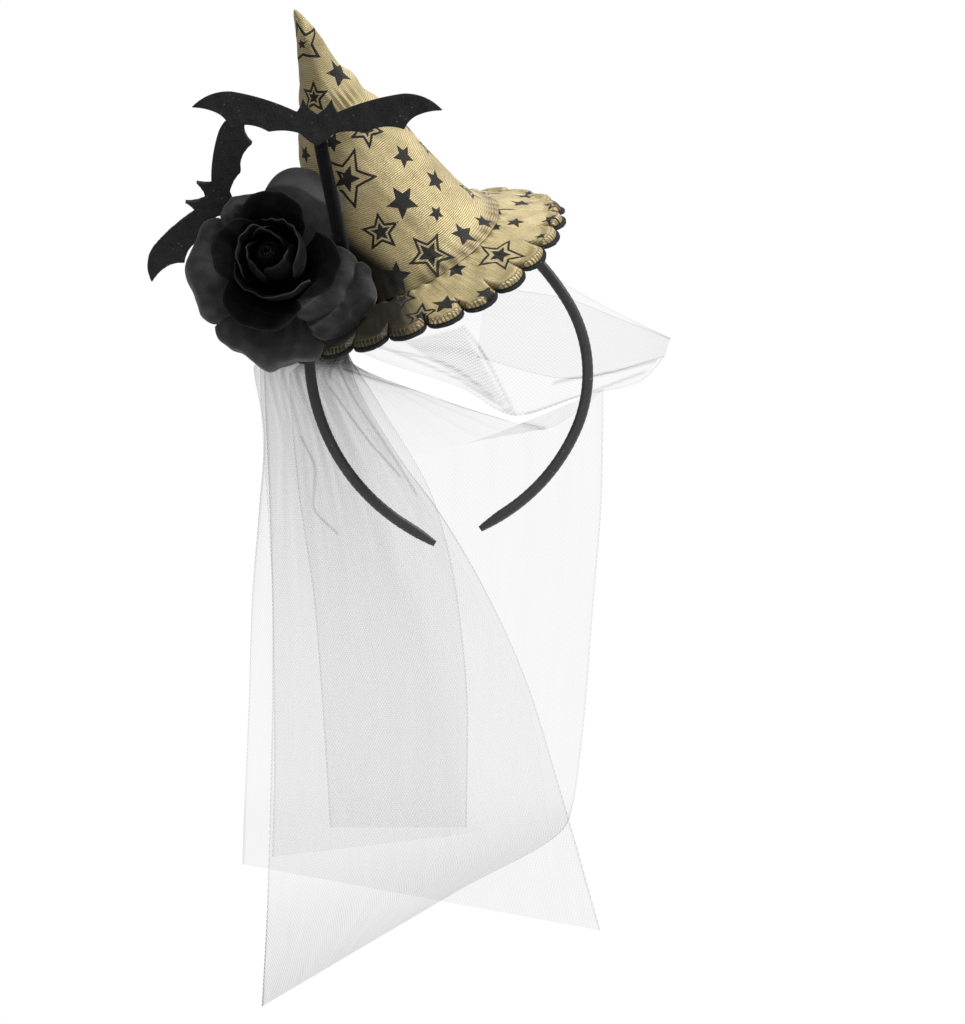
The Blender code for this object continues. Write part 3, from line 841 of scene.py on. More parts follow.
@dataclass(frozen=True)
class Net:
    """Fine black net: a see-through cloth of small diamonds, denser where it is gathered or folded."""

    thread: tuple = (0.045, 0.046, 0.052, 1.0)
    diamond: float = 1.25
    slope: float = 0.6
    opacity: float = 0.066
    fold_opacity: float = 0.24
    most: float = 0.9

    def build(self) -> bpy.types.Material:
        """Makes the material.

        Returns:
            The material.
        """
        w, shader, made = new_finish("black_net", Roughness=0.8, Specular_IOR_Level=0.2,
                                     Base_Color=self.thread)
        cloth = w.cloth()
        across, along, _ = w.axes(cloth)
        turn = 2 * math.pi / self.diamond
        shift = w.calc("MULTIPLY", along, self.slope)
        rising, falling = (w.wave(w.calc(way, across, shift), turn) for way in ("ADD", "SUBTRACT"))
        mesh = w.calc("MAXIMUM", w.ease(rising, 0.1, 1.0), w.ease(falling, 0.1, 1.0))
        streaks = w.noise(w.stretched(cloth, (0.9, 0.035, 1.0)), 1.0)
        pattern = w.calc("MULTIPLY", w.calc("MULTIPLY_ADD", mesh, 0.95, 0.55),
                         w.calc("MULTIPLY_ADD", streaks, 0.5, 0.75))
        plain = w.calc("MULTIPLY", w.calc("MULTIPLY", pattern, self.opacity), w.attribute("cover"))
        folded = w.calc("MULTIPLY_ADD", w.attribute("fold"), self.fold_opacity, plain)
        w.feed(shader, {"Alpha": w.calc("MINIMUM", folded, self.most)})
        return made


# The printed stars

@dataclass(frozen=True)
class Star:
    """A printed star, where it is seen from the front.

    A star with an inner radius is an outline with a small solid star inside.
    """

    across: float
    up: float
    radius: float
    turn: float
    inner: float = 0.0


CROWN_STARS = (
    Star(-61.2, 77.4, 7.6, 33), Star(-29.7, 37.2, 6.5, 29), Star(-30.5, 14.9, 8.8, 33),
    Star(-13.9, 24.9, 6.5, 0), Star(-13.6, 9.0, 4.4, 29), Star(-0.9, -0.8, 6.5, 49),
    Star(9.5, 5.1, 4.4, -20), Star(-64.5, 43.1, 5.0, 20), Star(-77.8, 37.7, 5.0, 10),
    Star(-33.3, -21.6, 7.6, 0), Star(-79.6, 91.4, 12.4, 57, 2.9), Star(-73.6, 65.4, 8.3, 0, 3.4),
    Star(-47.9, 49.9, 9.8, 22, 4.0), Star(-57.7, 25.9, 15.7, 18, 7.0), Star(-40.8, -0.5, 10.3, -10, 5.0),
    Star(-17.0, -11.3, 11.8, 22, 6.4), Star(2.6, 21.0, 8.3, 49, 3.4), Star(-16.0, 45.0, 6.9, 20, 2.4),
)
BRIM_STARS = (
    Star(28.1, 14.3, 6.3, 0), Star(24.5, 4.9, 5.0, 30), Star(15.3, 2.4, 3.2, 10),
    Star(41.7, 6.5, 5.6, 50), Star(37.2, -2.2, 3.7, 0), Star(31.5, 19.6, 3.2, 20),
    Star(-4.1, -18.7, 5.6, 0), Star(-8.9, -35.2, 7.6, 15), Star(10.2, -29.9, 6.3, 40),
    Star(17.0, -11.3, 13.2, 27, 5.8), Star(15.1, 10.2, 5.4, 0, 2.4), Star(-21.4, -41.2, 9.8, 10, 4.0),
    Star(-30.2, -32.9, 8.8, 40, 3.4), Star(46.2, 14.2, 7.8, 0, 2.9),
)


@dataclass
class StarPrint:
    """The star print of one piece of cloth: each face keeps its place in the star nearest to it.

    Scattered stars take their sizes in turn and keep a least gap, and from nested_from on they are
    outlines with a small star inside. Plain is a place outside every star, and near is how far
    round a star's middle the cloth's direction is read.

    Args:
        piece: the cloth.
        facing: which of its points the front view can show.
        offset: gives every point's place in the cloth from one of them.
    """

    piece: bpy.types.Object
    facing: np.ndarray
    offset: Callable[[int], np.ndarray]
    scatter_sizes: tuple = (10.5, 13.0, 7.0, 5.5, 4.5, 9.0, 3.6, 6.2)
    nested_from: float = 8.0
    nested_share: float = 0.36
    least_gap: float = 1.5
    tries: int = 40
    near: float = 6.0
    plain: float = 9.0
    picture: np.ndarray = field(init=False)
    corners: np.ndarray = field(init=False)
    nearest: np.ndarray = field(init=False)
    places: np.ndarray = field(init=False)
    sizes: np.ndarray = field(init=False)
    taken: list = field(init=False, default_factory=list)

    def __post_init__(self) -> None:
        """Starts with plain cloth."""
        self.picture = points_of(self.piece)[:, [0, 2]]
        self.corners = corners_of(self.piece).reshape(-1, 4)
        self.nearest = np.full(len(self.corners), FAR)
        self.places = np.full((*self.corners.shape, 2), self.plain)
        self.sizes = np.ones((*self.corners.shape, 2))

    def stamp(self, centre: int, aim: np.ndarray, radius: float, inner: float) -> None:
        """Prints one star.

        Args:
            centre: the point at its middle.
            aim: the direction of its first tip in the cloth.
            radius: its tips' radius.
            inner: the radius of the solid star inside, or 0 for a solid star.
        """
        cloth = self.offset(centre)
        place = np.stack([cloth @ np.array([aim[1], -aim[0]]), cloth @ aim], 1) / radius
        at = place[self.corners]
        away = np.linalg.norm(at.mean(axis=1), axis=1)
        closer = away < self.nearest
        self.nearest[closer] = away[closer]
        self.places[closer] = at[closer]
        self.sizes[closer] = (radius, inner / radius)
        self.taken.append((centre, radius))

    def from_front(self, stars: Sequence[Star]) -> None:
        """Prints the stars that the front view shows, each where it is seen.

        Args:
            stars: the stars, as they are seen.
        """
        for star in stars:
            seen = self.picture - np.array([star.across, star.up])
            centre = int((np.hypot(seen[:, 0], seen[:, 1]) + np.where(self.facing, 0.0, FAR)).argmin())
            cloth = self.offset(centre)
            near = (np.hypot(cloth[:, 0], cloth[:, 1]) < self.near) & self.facing
            basis, *_ = np.linalg.lstsq(cloth[near], self.picture[near] - self.picture[centre], rcond=None)
            cos, sin = turned(star.turn)
            aim = np.array([sin, cos]) @ np.linalg.inv(basis)
            self.stamp(centre, unit(aim), star.radius, star.inner)

    def scatter(self, allowed: np.ndarray, count: int, seed: int) -> None:
        """Prints more stars where the front view shows none.

        Args:
            allowed: which points may be a star's middle.
            count: how many stars are tried.
            seed: which scatter.
        """
        random = np.random.default_rng(seed)
        places = np.flatnonzero(allowed)
        for number in range(count):
            radius = self.scatter_sizes[number % len(self.scatter_sizes)]
            for _ in range(self.tries):
                centre = int(random.choice(places))
                cloth = self.offset(centre)
                clear = radius + self.least_gap
                if all(np.hypot(*cloth[other]) > clear + size for other, size in self.taken):
                    angle = random.uniform(0, 2 * np.pi)
                    inner = radius * self.nested_share if radius > self.nested_from else 0.0
                    self.stamp(centre, np.array([math.sin(angle), math.cos(angle)]), radius, inner)
                    break

    def keep(self) -> None:
        """Keeps the print in two of the cloth's maps: places in a star, and its size and kind."""
        for name, rows in (("star", self.places), ("star_kind", self.sizes)):
            self.piece.data.uv_layers.new(name=name).data.foreach_set("uv", rows.astype(np.float32).ravel())


# The hat

@dataclass(frozen=True)
class HatFrame:
    """The hat's own directions: along the brim, to its front and up out of its crown.

    The cloth of the crown and the brim is gathered where they meet.
    """

    middle: tuple = (-30.9226, -23.488, -8.6689)
    lean: float = 25.8
    tilt: float = 22.8
    gathers: int = 46

    def axes(self) -> np.ndarray:
        """Rows along, front and up."""
        (lean_c, lean_s), (tilt_c, tilt_s) = turned(self.lean), turned(self.tilt)
        return np.array([[lean_c, 0, lean_s], [lean_s * tilt_s, -tilt_c, -lean_c * tilt_s],
                         [-lean_s * tilt_c, -tilt_s, lean_c * tilt_c]])

    def point(self, radius: np.ndarray, turn: np.ndarray, up: np.ndarray,
              aside: np.ndarray | float = 0.0) -> np.ndarray:
        """Points round the crown's middle line.

        Args:
            radius: distance from that line.
            turn: direction round it, 0 along the brim and 90 at the front.
            up: height over the brim.
            aside: shift along the brim.

        Returns:
            A row for each point.
        """
        cos, sin = turned(turn)
        local = np.stack(np.broadcast_arrays(aside + radius * cos, radius * sin, up), axis=-1)
        return np.array(self.middle) + local @ self.axes()

    def gather(self, turn: np.ndarray, uneven: np.ndarray | float = 0.0) -> np.ndarray:
        """How far each direction is out on a gather, -1 to 1."""
        return np.sin(np.radians(turn * self.gathers) + uneven)


def painted_rose_shadow(points: np.ndarray) -> np.ndarray:
    """Painted shadow on the cloth in the nook beside and under the rose, on its front.

    Args:
        points: rows of places on the hat.

    Returns:
        A share for each, 1 in the nook and 0 away from it.
    """
    across, depth, up = points.T
    beside = smooth((68.0 - np.hypot(across + 91.0, up + 18.0)) / 10.0)
    under = smooth((50.0 - np.hypot(across + 64.0, up + 50.0)) / 18.0)
    below = smooth((2.5 - 0.65 * (across + 55.5) - up) / 12.0)
    front = smooth((-24.0 - depth) / 12.0)
    return np.maximum(beside, under) * below * front


@dataclass
class Crown:
    """The pointed crown: ribbed star cloth with soft crumples, gathered at its foot.

    Each ring is a share of the height, a radius and a shift along the brim. The cloth's pushes
    outwards are its gathers, its soft and fine unevenness, and two spots of creases that are given
    by their place across and up and the square of their size.
    """

    hat: HatFrame
    height: float = 139.0
    wall: float = 1.5
    tip_aside: float = 4.0
    rings: tuple = ((0.0, 52.0, 0.0), (0.035, 47.3, -0.3), (0.1, 42.6, -0.9), (0.2, 37.7, -0.8),
                    (0.34, 31.8, -0.5), (0.45, 26.8, 0.0), (0.55, 21.8, 0.7), (0.62, 16.6, 0.8),
                    (0.67, 15.2, 1.2), (0.74, 10.6, 1.6), (0.84, 6.9, 2.9), (0.93, 3.6, 4.0))
    tip: tuple = ((0.975, 1.8), (1.0, 0.5))
    closes_from: float = 0.985
    columns: int = 300
    rows: int = 150
    front_crowding: float = 0.35
    gather_push: float = 0.36
    soft_push: float = 0.40
    fine_push: float = 0.16
    pucker_push: float = 0.45
    pucker_spot: tuple = (-57.0, 64.0, 60.0)
    crumple_push: float = 0.225
    crumple_spot: tuple = (-40.0, 50.0, 90.0)
    mean_radius: float = 34.0
    slope: float = 1.06
    no_stitch: float = 9.0

    def turn_at(self, u: np.ndarray) -> np.ndarray:
        """Directions round the crown, closer together at its front."""
        round_ = 2 * np.pi * (u - 0.5)
        return 90.0 + np.degrees(round_ - self.front_crowding * np.sin(round_))

    def share_at(self, v: np.ndarray) -> np.ndarray:
        """Heights as shares of the crown's, a little closer together near the tip."""
        return v * (1.12 - 0.12 * v)

    def outline_at(self, share: np.ndarray) -> tuple[np.ndarray, np.ndarray]:
        """The crown's outline, which closes at its tip.

        Args:
            share: shares of the height.

        Returns:
            The radius and the shift along the brim at each.
        """
        up, radius, aside = np.array(self.rings).T
        tip_up, tip_radius = zip(*self.tip)
        radius = flow(share, [*up, *tip_up], [*radius, *tip_radius])
        closing = np.clip(share - self.closes_from, 0, None) / (1 - self.closes_from)
        close = np.sqrt(np.clip(1 - closing ** 2, 0, 1))
        aside = flow(share, [*up, 1.0], [*aside, self.tip_aside])
        return np.maximum(radius, 0.02) * close, aside

    def gathers_at(self, turn: np.ndarray) -> np.ndarray:
        """The gathers at the crown's foot, unevenly wide, -1 to 1."""
        return self.hat.gather(turn, 4 * ripples(np.stack(turned(turn), 1) * 3, 2.0, 5))

    def between(self, share: np.ndarray, low: float, high: float) -> np.ndarray:
        """1 in the crown's middle part, eased to 0 at its foot and at its tip."""
        return smooth(share / low) * (1 - smooth((share - high) / (1 - high)))

    def place(self, u: np.ndarray, v: np.ndarray) -> np.ndarray:
        """Points of the crown's outer face.

        Args:
            u: shares of the way round it.
            v: shares of the way up.

        Returns:
            A row in millimetres for each pair of shares.
        """
        turn, share = self.turn_at(u), self.share_at(v)
        radius, aside = self.outline_at(share)
        skin = self.hat.point(radius, turn, share * self.height, aside)
        loose = 0.55 + 0.45 * ripples(np.stack(turned(turn), 1) * 8, 5.0, 14)
        gathers = self.gather_push * loose * self.gathers_at(turn) * np.exp(-((share - 0.03) / 0.035) ** 2)
        soft = self.soft_push * ripples(skin, 34.0, 11) * self.between(share, 0.1, 0.9)
        fine = self.fine_push * ripples(skin, 9.0, 12) * self.between(share, 0.05, 0.93)
        seen = skin[:, [0, 2]]
        lines = np.sin((seen[:, 0] + seen[:, 1] * 0.8 - 8.0) * 1.6)
        puckers = self.pucker_push * lines * spot(seen, *self.pucker_spot)
        waves = np.sin(seen @ np.array([0.32, 0.95]))
        crumple = self.crumple_push * waves * spot(seen, *self.crumple_spot)
        push = gathers + soft + fine + puckers + crumple
        return skin + self.hat.point(push, turn, np.zeros_like(push)) - np.array(self.hat.middle)

    def build(self) -> bpy.types.Object:
        """Makes the crown with its cloth map, print and painted shade at its foot and by the rose.

        Returns:
            The crown as a wall of cloth.
        """
        piece, shares = lay_grid("crown_cloth", self.columns, self.rows, self.place)
        turn, share = self.turn_at(shares[:, 0]), self.share_at(shares[:, 1])
        points = points_of(piece)
        radius, _ = self.outline_at(share)
        slant = share * self.height * self.slope
        lay_uv(piece, np.stack([np.radians(turn) * self.mean_radius, slant], 1))

        def offset(centre: int) -> np.ndarray:
            """Each point's place in the cloth from one of them."""
            away = np.radians((turn - turn[centre] + 180) % 360 - 180)
            return np.stack([away * (radius + radius[centre]) / 2, slant - slant[centre]], 1)

        middle = self.hat.point(np.zeros_like(share), turn, share * self.height)[:, 1]
        stars = StarPrint(piece, points[:, 1] < middle, offset)
        stars.from_front(CROWN_STARS)
        stars.scatter((points[:, 1] > middle + 3) & (share > 0.06) & (share < 0.8), 34, 3)
        stars.keep()
        # Painted shade in the gathered seam at the crown's foot.
        seam = np.exp(-((share - 0.012) / 0.022) ** 2)
        mark(piece, "crease", np.clip(seam * (0.7 + 0.25 * self.gathers_at(turn)), 0, 1))
        # Painted shadow beside and under the rose.
        mark(piece, "shade", painted_rose_shadow(points))
        lay_uv(piece, np.full((len(points), 2), self.no_stitch), "stitch")
        close_seams(piece)
        modify(piece, "SOLIDIFY", thickness=self.wall * MM, offset=-1.0, use_even_offset=False)
        return piece


@dataclass
class Brim:
    """The padded brim with its scallops, and the felt that lines it.

    The cloth runs from the hole over the top to the edge, rolls round it and ends under it, and
    top_end and roll_end are shares of that way. It droops by an angle that changes round the hat.
    """

    hat: HatFrame
    hole: float = 45.0
    foot: float = 52.0
    valley: float = 78.0
    scallops: int = 25
    scallop_depth: float = 6.5
    droop_mean: float = 22.0
    droop_swing: float = 9.0
    droop_turn: float = -40.0
    wave: float = 1.2
    columns: int = 600
    rows: int = 62
    top_end: float = 0.86
    roll_end: float = 0.97
    roll_inset: float = 2.5
    roll_out: float = 1.25
    tuck: float = 3.0
    puff: float = 1.7
    groove: float = 2.2
    crease: float = 0.35
    gather_push: float = 0.5
    stitches: int = 10
    felt: float = 1.2
    felt_drop: float = 4.2
    felt_rise: float = 1.45

    def point(self, radius: np.ndarray, turn: np.ndarray, lift: np.ndarray) -> np.ndarray:
        """Points over the brim, which droops from the crown's foot outwards.

        Args:
            radius: distance from the crown's middle line, along the cloth.
            turn: direction round it.
            lift: height over the drooping brim.

        Returns:
            A row in millimetres for each point.
        """
        beyond = np.maximum(0.0, radius - self.foot)
        angle = np.radians(self.droop_mean + self.droop_swing * np.cos(np.radians(turn - self.droop_turn)))
        wave = self.wave * np.sin(np.radians(4 * turn)) * beyond / (self.valley - self.foot)
        flat = np.minimum(radius, self.foot) + beyond * np.cos(angle)
        return self.hat.point(flat, turn, lift + wave - beyond * np.sin(angle))

    def spot(self, radius: float, turn: float) -> np.ndarray:
        """One point on the brim."""
        return self.point(np.array([radius]), np.array([turn]), np.array([0.0]))[0]

    def across(self, turn: np.ndarray) -> np.ndarray:
        """Places across each scallop, -1 and 1 at its ends."""
        share = turn * self.scallops / 360.0
        return 2.0 * (share - np.round(share))

    def edge(self, turn: np.ndarray) -> np.ndarray:
        """The scalloped edge's radius."""
        across = self.across(turn)
        return self.valley + self.scallop_depth * np.sqrt(np.clip(1 - across * across, 0.0, 1.0))

    def from_valley(self, turn: np.ndarray, radius: np.ndarray) -> np.ndarray:
        """Distance round the brim from the line between two scallops."""
        return (1 - np.abs(self.across(turn))) * radius * math.pi / self.scallops

    def turn_at(self, u: np.ndarray) -> np.ndarray:
        """Directions round the brim, closer together at the ends of each scallop."""
        share = u * self.scallops
        return 360.0 / self.scallops * (share + 0.5 - 0.09 * np.sin(2 * np.pi * share))

    def relief(self, turn: np.ndarray, radius: np.ndarray, hem: np.ndarray) -> np.ndarray:
        """Height of the brim's padded top: cushions with grooves between them, gathers and creases.

        Args:
            turn: directions round the hat.
            radius: distances from the crown's middle line.
            hem: distances from the edge.

        Returns:
            A height for each point.
        """
        lobe = np.sqrt(np.clip(1 - self.across(turn) ** 2, 0, 1))
        cushion = self.puff * lobe * (1 - smooth((hem - 3.5) / 6.0))
        groove = np.exp(-(self.from_valley(turn, radius) / 1.8) ** 2) * (1 - smooth((hem - 3.0) / 7.0))
        narrow, plain = np.stack([turn * 1.35, radius * 0.3], 1), np.stack([turn * 1.35, radius], 1)
        gather = 0.12 * ripples(narrow, 5.0, 21) * smooth((radius - 50) / 8)
        creases = self.crease * ripples(plain, 17.0, 22)
        foot = self.gather_push * self.hat.gather(turn) * np.exp(-((radius - 52.5) / 2.2) ** 2)
        return -0.3 + cushion - self.groove * groove + gather + creases + foot

    def lay(self, turn: np.ndarray, v: np.ndarray) -> tuple[np.ndarray, np.ndarray, np.ndarray]:
        """The cloth's way from the crown's foot over the scalloped edge and under it.

        Args:
            turn: directions round the hat.
            v: shares of the way.

        Returns:
            The radius, the lift and the distance from the edge.
        """
        edge = self.edge(turn)
        last = edge - self.roll_inset
        out = np.clip(v / self.top_end, 0, 1)
        roll = np.clip((v - self.top_end) / (self.roll_end - self.top_end), 0, 1)
        under = np.clip((v - self.roll_end) / (1 - self.roll_end), 0, 1)
        cos, sin = turned(180 * roll)
        radius = self.hole + (last - self.hole) * (1 - (1 - out) ** 1.12)
        radius = radius + self.roll_out * sin - self.tuck * under
        hem = np.maximum(edge - radius, 0.0)
        top = self.relief(turn, radius, hem)
        middle, below = -1.05, 0.95
        rolled = middle + (top - middle) * np.clip(cos, 0, 1) + below * np.clip(cos, -1, 0)
        return radius, np.where(roll > 0, rolled, top), hem

    def place(self, u: np.ndarray, v: np.ndarray) -> np.ndarray:
        """Points of the brim's cloth.

        Args:
            u: shares of the way round it.
            v: shares of the cloth's way outwards.

        Returns:
            A row in millimetres for each pair of shares.
        """
        turn = self.turn_at(u)
        radius, lift, _ = self.lay(turn, v)
        return self.point(radius, turn, lift)

    def build(self) -> bpy.types.Object:
        """Makes the brim's cloth with its map, print, painted shade and shadow, and blanket stitch.

        Returns:
            The brim's cloth.
        """
        piece, shares = lay_grid("brim_cloth", self.columns, self.rows, self.place)
        turn, way = self.turn_at(shares[:, 0]), shares[:, 1]
        radius, _, hem = self.lay(turn, way)
        cos, sin = turned(turn)
        flat = np.stack([radius * cos, radius * sin], 1)
        lay_uv(piece, flat)

        def offset(centre: int) -> np.ndarray:
            """Each point's place in the cloth from one of them."""
            return flat - flat[centre]

        stars = StarPrint(piece, way < self.top_end, offset)
        stars.from_front(BRIM_STARS)
        stars.scatter((sin < 0.1) & (radius > 54) & (way < 0.7), 40, 4)
        stars.keep()
        # Painted shade: in the valleys between scallops, in the gather at the crown's foot and under the
        # rolled edge.
        valley = 0.95 * np.exp(-(self.from_valley(turn, radius) / 1.6) ** 2) * (1 - smooth((hem - 3.0) / 6.0))
        gather = np.exp(-((radius - 51.0) / 1.8) ** 2) * (0.45 + 0.4 * self.hat.gather(turn))
        under = smooth((way - 0.93) / 0.05)
        mark(piece, "crease", np.clip(valley + gather + 0.5 * under, 0, 1))
        # Painted shadow beside and under the rose.
        mark(piece, "shade", painted_rose_shadow(points_of(piece)))
        lay_uv(piece, np.stack([turn * self.scallops / 360 * self.stitches, hem], 1), "stitch")
        close_seams(piece)
        return piece

    def place_lining(self, u: np.ndarray, v: np.ndarray) -> np.ndarray:
        """Points halfway through the felt's thickness.

        Args:
            u: shares of the way round it.
            v: shares of the way from its middle to its edge.

        Returns:
            A row in millimetres for each pair of shares.
        """
        turn = self.turn_at(u)
        fuzz = 0.12 * ripples(np.stack([turn * 1.4, turn * 0.0], 1), 1.1, 31)
        radius = v * (self.edge(turn) - 0.1 + fuzz)
        lift = self.felt_rise * smooth((radius - self.foot) / (self.valley - self.foot)) - self.felt_drop
        uneven = 0.12 * ripples(np.stack([radius * 0.3, turn * 0.4], 1), 3.0, 32)
        return self.point(radius, turn, lift + uneven)

    def build_lining(self) -> bpy.types.Object:
        """Makes the felt disc, cut in scallops a little larger than the cloth's.

        Returns:
            The disc.
        """
        piece, _ = lay_grid("lining_felt", 400, 40, self.place_lining)
        close_seams(piece)
        modify(piece, "SOLIDIFY", thickness=self.felt * MM, offset=0.0)
        return piece


# The headband

@dataclass
class Hoop:
    """The satin-covered hoop, swept along its arcs.

    Each run is an arc's radius and turn, or a straight's length and no turn, from the top down.
    The hat's seat is the stretch on its left where it is twisted by the hat's tilt. A cap closes
    each end, and the satin map's size is the hoop's girth and its length.
    """

    thick: float = 5.4
    wide: float = 7.0
    taper: float = 14.0
    end_scale: float = 0.55
    squareness: float = 0.62
    right: tuple = ((46.5, 46.5), (132.0, 11.4), (68.5, 56.5), (93.5, 32.2), (15.5, 0))
    left: tuple = ((46.5, 25.8), (33.0, 0), (46.5, 64.2), (100.5, 58.0), (17.0, 0))
    station: float = 1.5
    seat: tuple = (20.9387, 53.9387)
    tilt: float = 22.8
    twist_fade: float = 40.0
    cap: float = 0.012
    cap_bulge: float = 1.4
    wrap: float = 0.06
    satin: tuple = (22.0, 520.0)

    def side(self, runs: tuple, side: int) -> np.ndarray:
        """Stations down one side, each its distance, its point and the way outwards.

        Args:
            runs: the radius and turn of each arc, or the length of a straight and no turn.
            side: 1 for the right and -1 for the left.

        Returns:
            Rows of signed distance, x, z, outward x and outward z.
        """
        x, z, heading, distance = 0.0, self.thick / 2, 0.0, 0.0
        rows = []
        for size, turn in runs:
            length = size * math.radians(turn) if turn else size
            steps = max(4, round(length / self.station))
            for _ in range(steps):
                part = turn / steps
                chord = 2 * size * math.sin(math.radians(part) / 2) if turn else length / steps
                middle = math.radians(heading - part / 2)
                x += side * math.cos(middle) * chord
                z += math.sin(middle) * chord
                heading -= part
                distance += length / steps
                ahead = math.radians(heading)
                rows.append((side * distance, x, z, -side * math.sin(ahead), math.cos(ahead)))
        return np.array(rows)

    def rounded(self, side: np.ndarray) -> np.ndarray:
        """A cosine or sine pushed outwards, so that a round section becomes squarer."""
        return np.sign(side) * np.abs(side) ** self.squareness

    def place(self, u: np.ndarray, v: np.ndarray) -> np.ndarray:
        """Points of the hoop's skin, which closes over both ends.

        Args:
            u: shares of the way round its section.
            v: shares of its length, from its left end.

        Returns:
            A row in millimetres for each pair of shares.
        """
        top = np.array([[0.0, 0.0, self.thick / 2, 0.0, 1.0]])
        line = np.vstack([self.side(self.left, -1)[::-1], top, self.side(self.right, 1)])
        low, high = line[0, 0], line[-1, 0]
        at = low + (high - low) * np.clip((v - self.cap) / (1 - 2 * self.cap), 0, 1)
        past = np.clip((self.cap - v) / self.cap, 0, 1) + np.clip((v - 1 + self.cap) / self.cap, 0, 1)
        x, z, out_x, out_z = (np.interp(at, line[:, 0], line[:, k]) for k in (1, 2, 3, 4))
        left = np.minimum(at - low, high - at)
        scale = self.end_scale + (1 - self.end_scale) * np.sqrt(smooth(left / self.taper))
        scale = scale * np.sqrt(np.clip(1 - past ** 2, 0, 1))
        away = np.abs(at + sum(self.seat) / 2) - (self.seat[1] - self.seat[0]) / 2
        cos, sin = turned(self.tilt * smooth(1 - away / self.twist_fade))
        zero = np.zeros_like(x)
        outward, back = np.stack([out_x, zero, out_z], 1), np.array([0.0, 1.0, 0.0])
        out = outward * cos[:, None] - back * sin[:, None]
        behind = back * cos[:, None] + outward * sin[:, None]
        c, s = turned(360 * u)
        a = self.rounded(c) * self.thick / 2 * scale
        b = self.rounded(s) * self.wide / 2 * scale
        ended = np.stack([out_z, zero, -out_x], 1) * np.where(v < 0.5, 1.0, -1.0)[:, None]
        wrap = self.wrap * np.sin(at * 1.9 + 2 * c) * (1 - past) * np.sign(a)
        return (np.stack([x, zero, z], 1) + out * (a + wrap)[:, None] + behind * b[:, None]
                + ended * (past * self.cap_bulge)[:, None])

    def build(self) -> bpy.types.Object:
        """Makes the covered hoop.

        Returns:
            The hoop.
        """
        piece, shares = lay_grid("satin_hoop", 40, 420, self.place)
        lay_uv(piece, shares * np.array(self.satin))
        close_seams(piece)
        return piece


# The rose

@dataclass(frozen=True)
class Petal:
    """A piece of a bowl, as in the CAD, and the look of its rim.

    The foot is its height on the rose, turn and half_width are degrees round it, reach and rise
    the bowl's size and opening how far round the bowl it goes. Then come the curl of its rim, how
    much painted shade it takes (below 0 it takes painted light), how much more one side curls, and
    how strong the painted highlight on its rim is.
    """

    foot: float
    turn: float
    half_width: float
    reach: float
    rise: float
    opening: float
    roll: float
    dark: float = 0.0
    skew: float = 0.0
    rim_highlight: float = 0.25


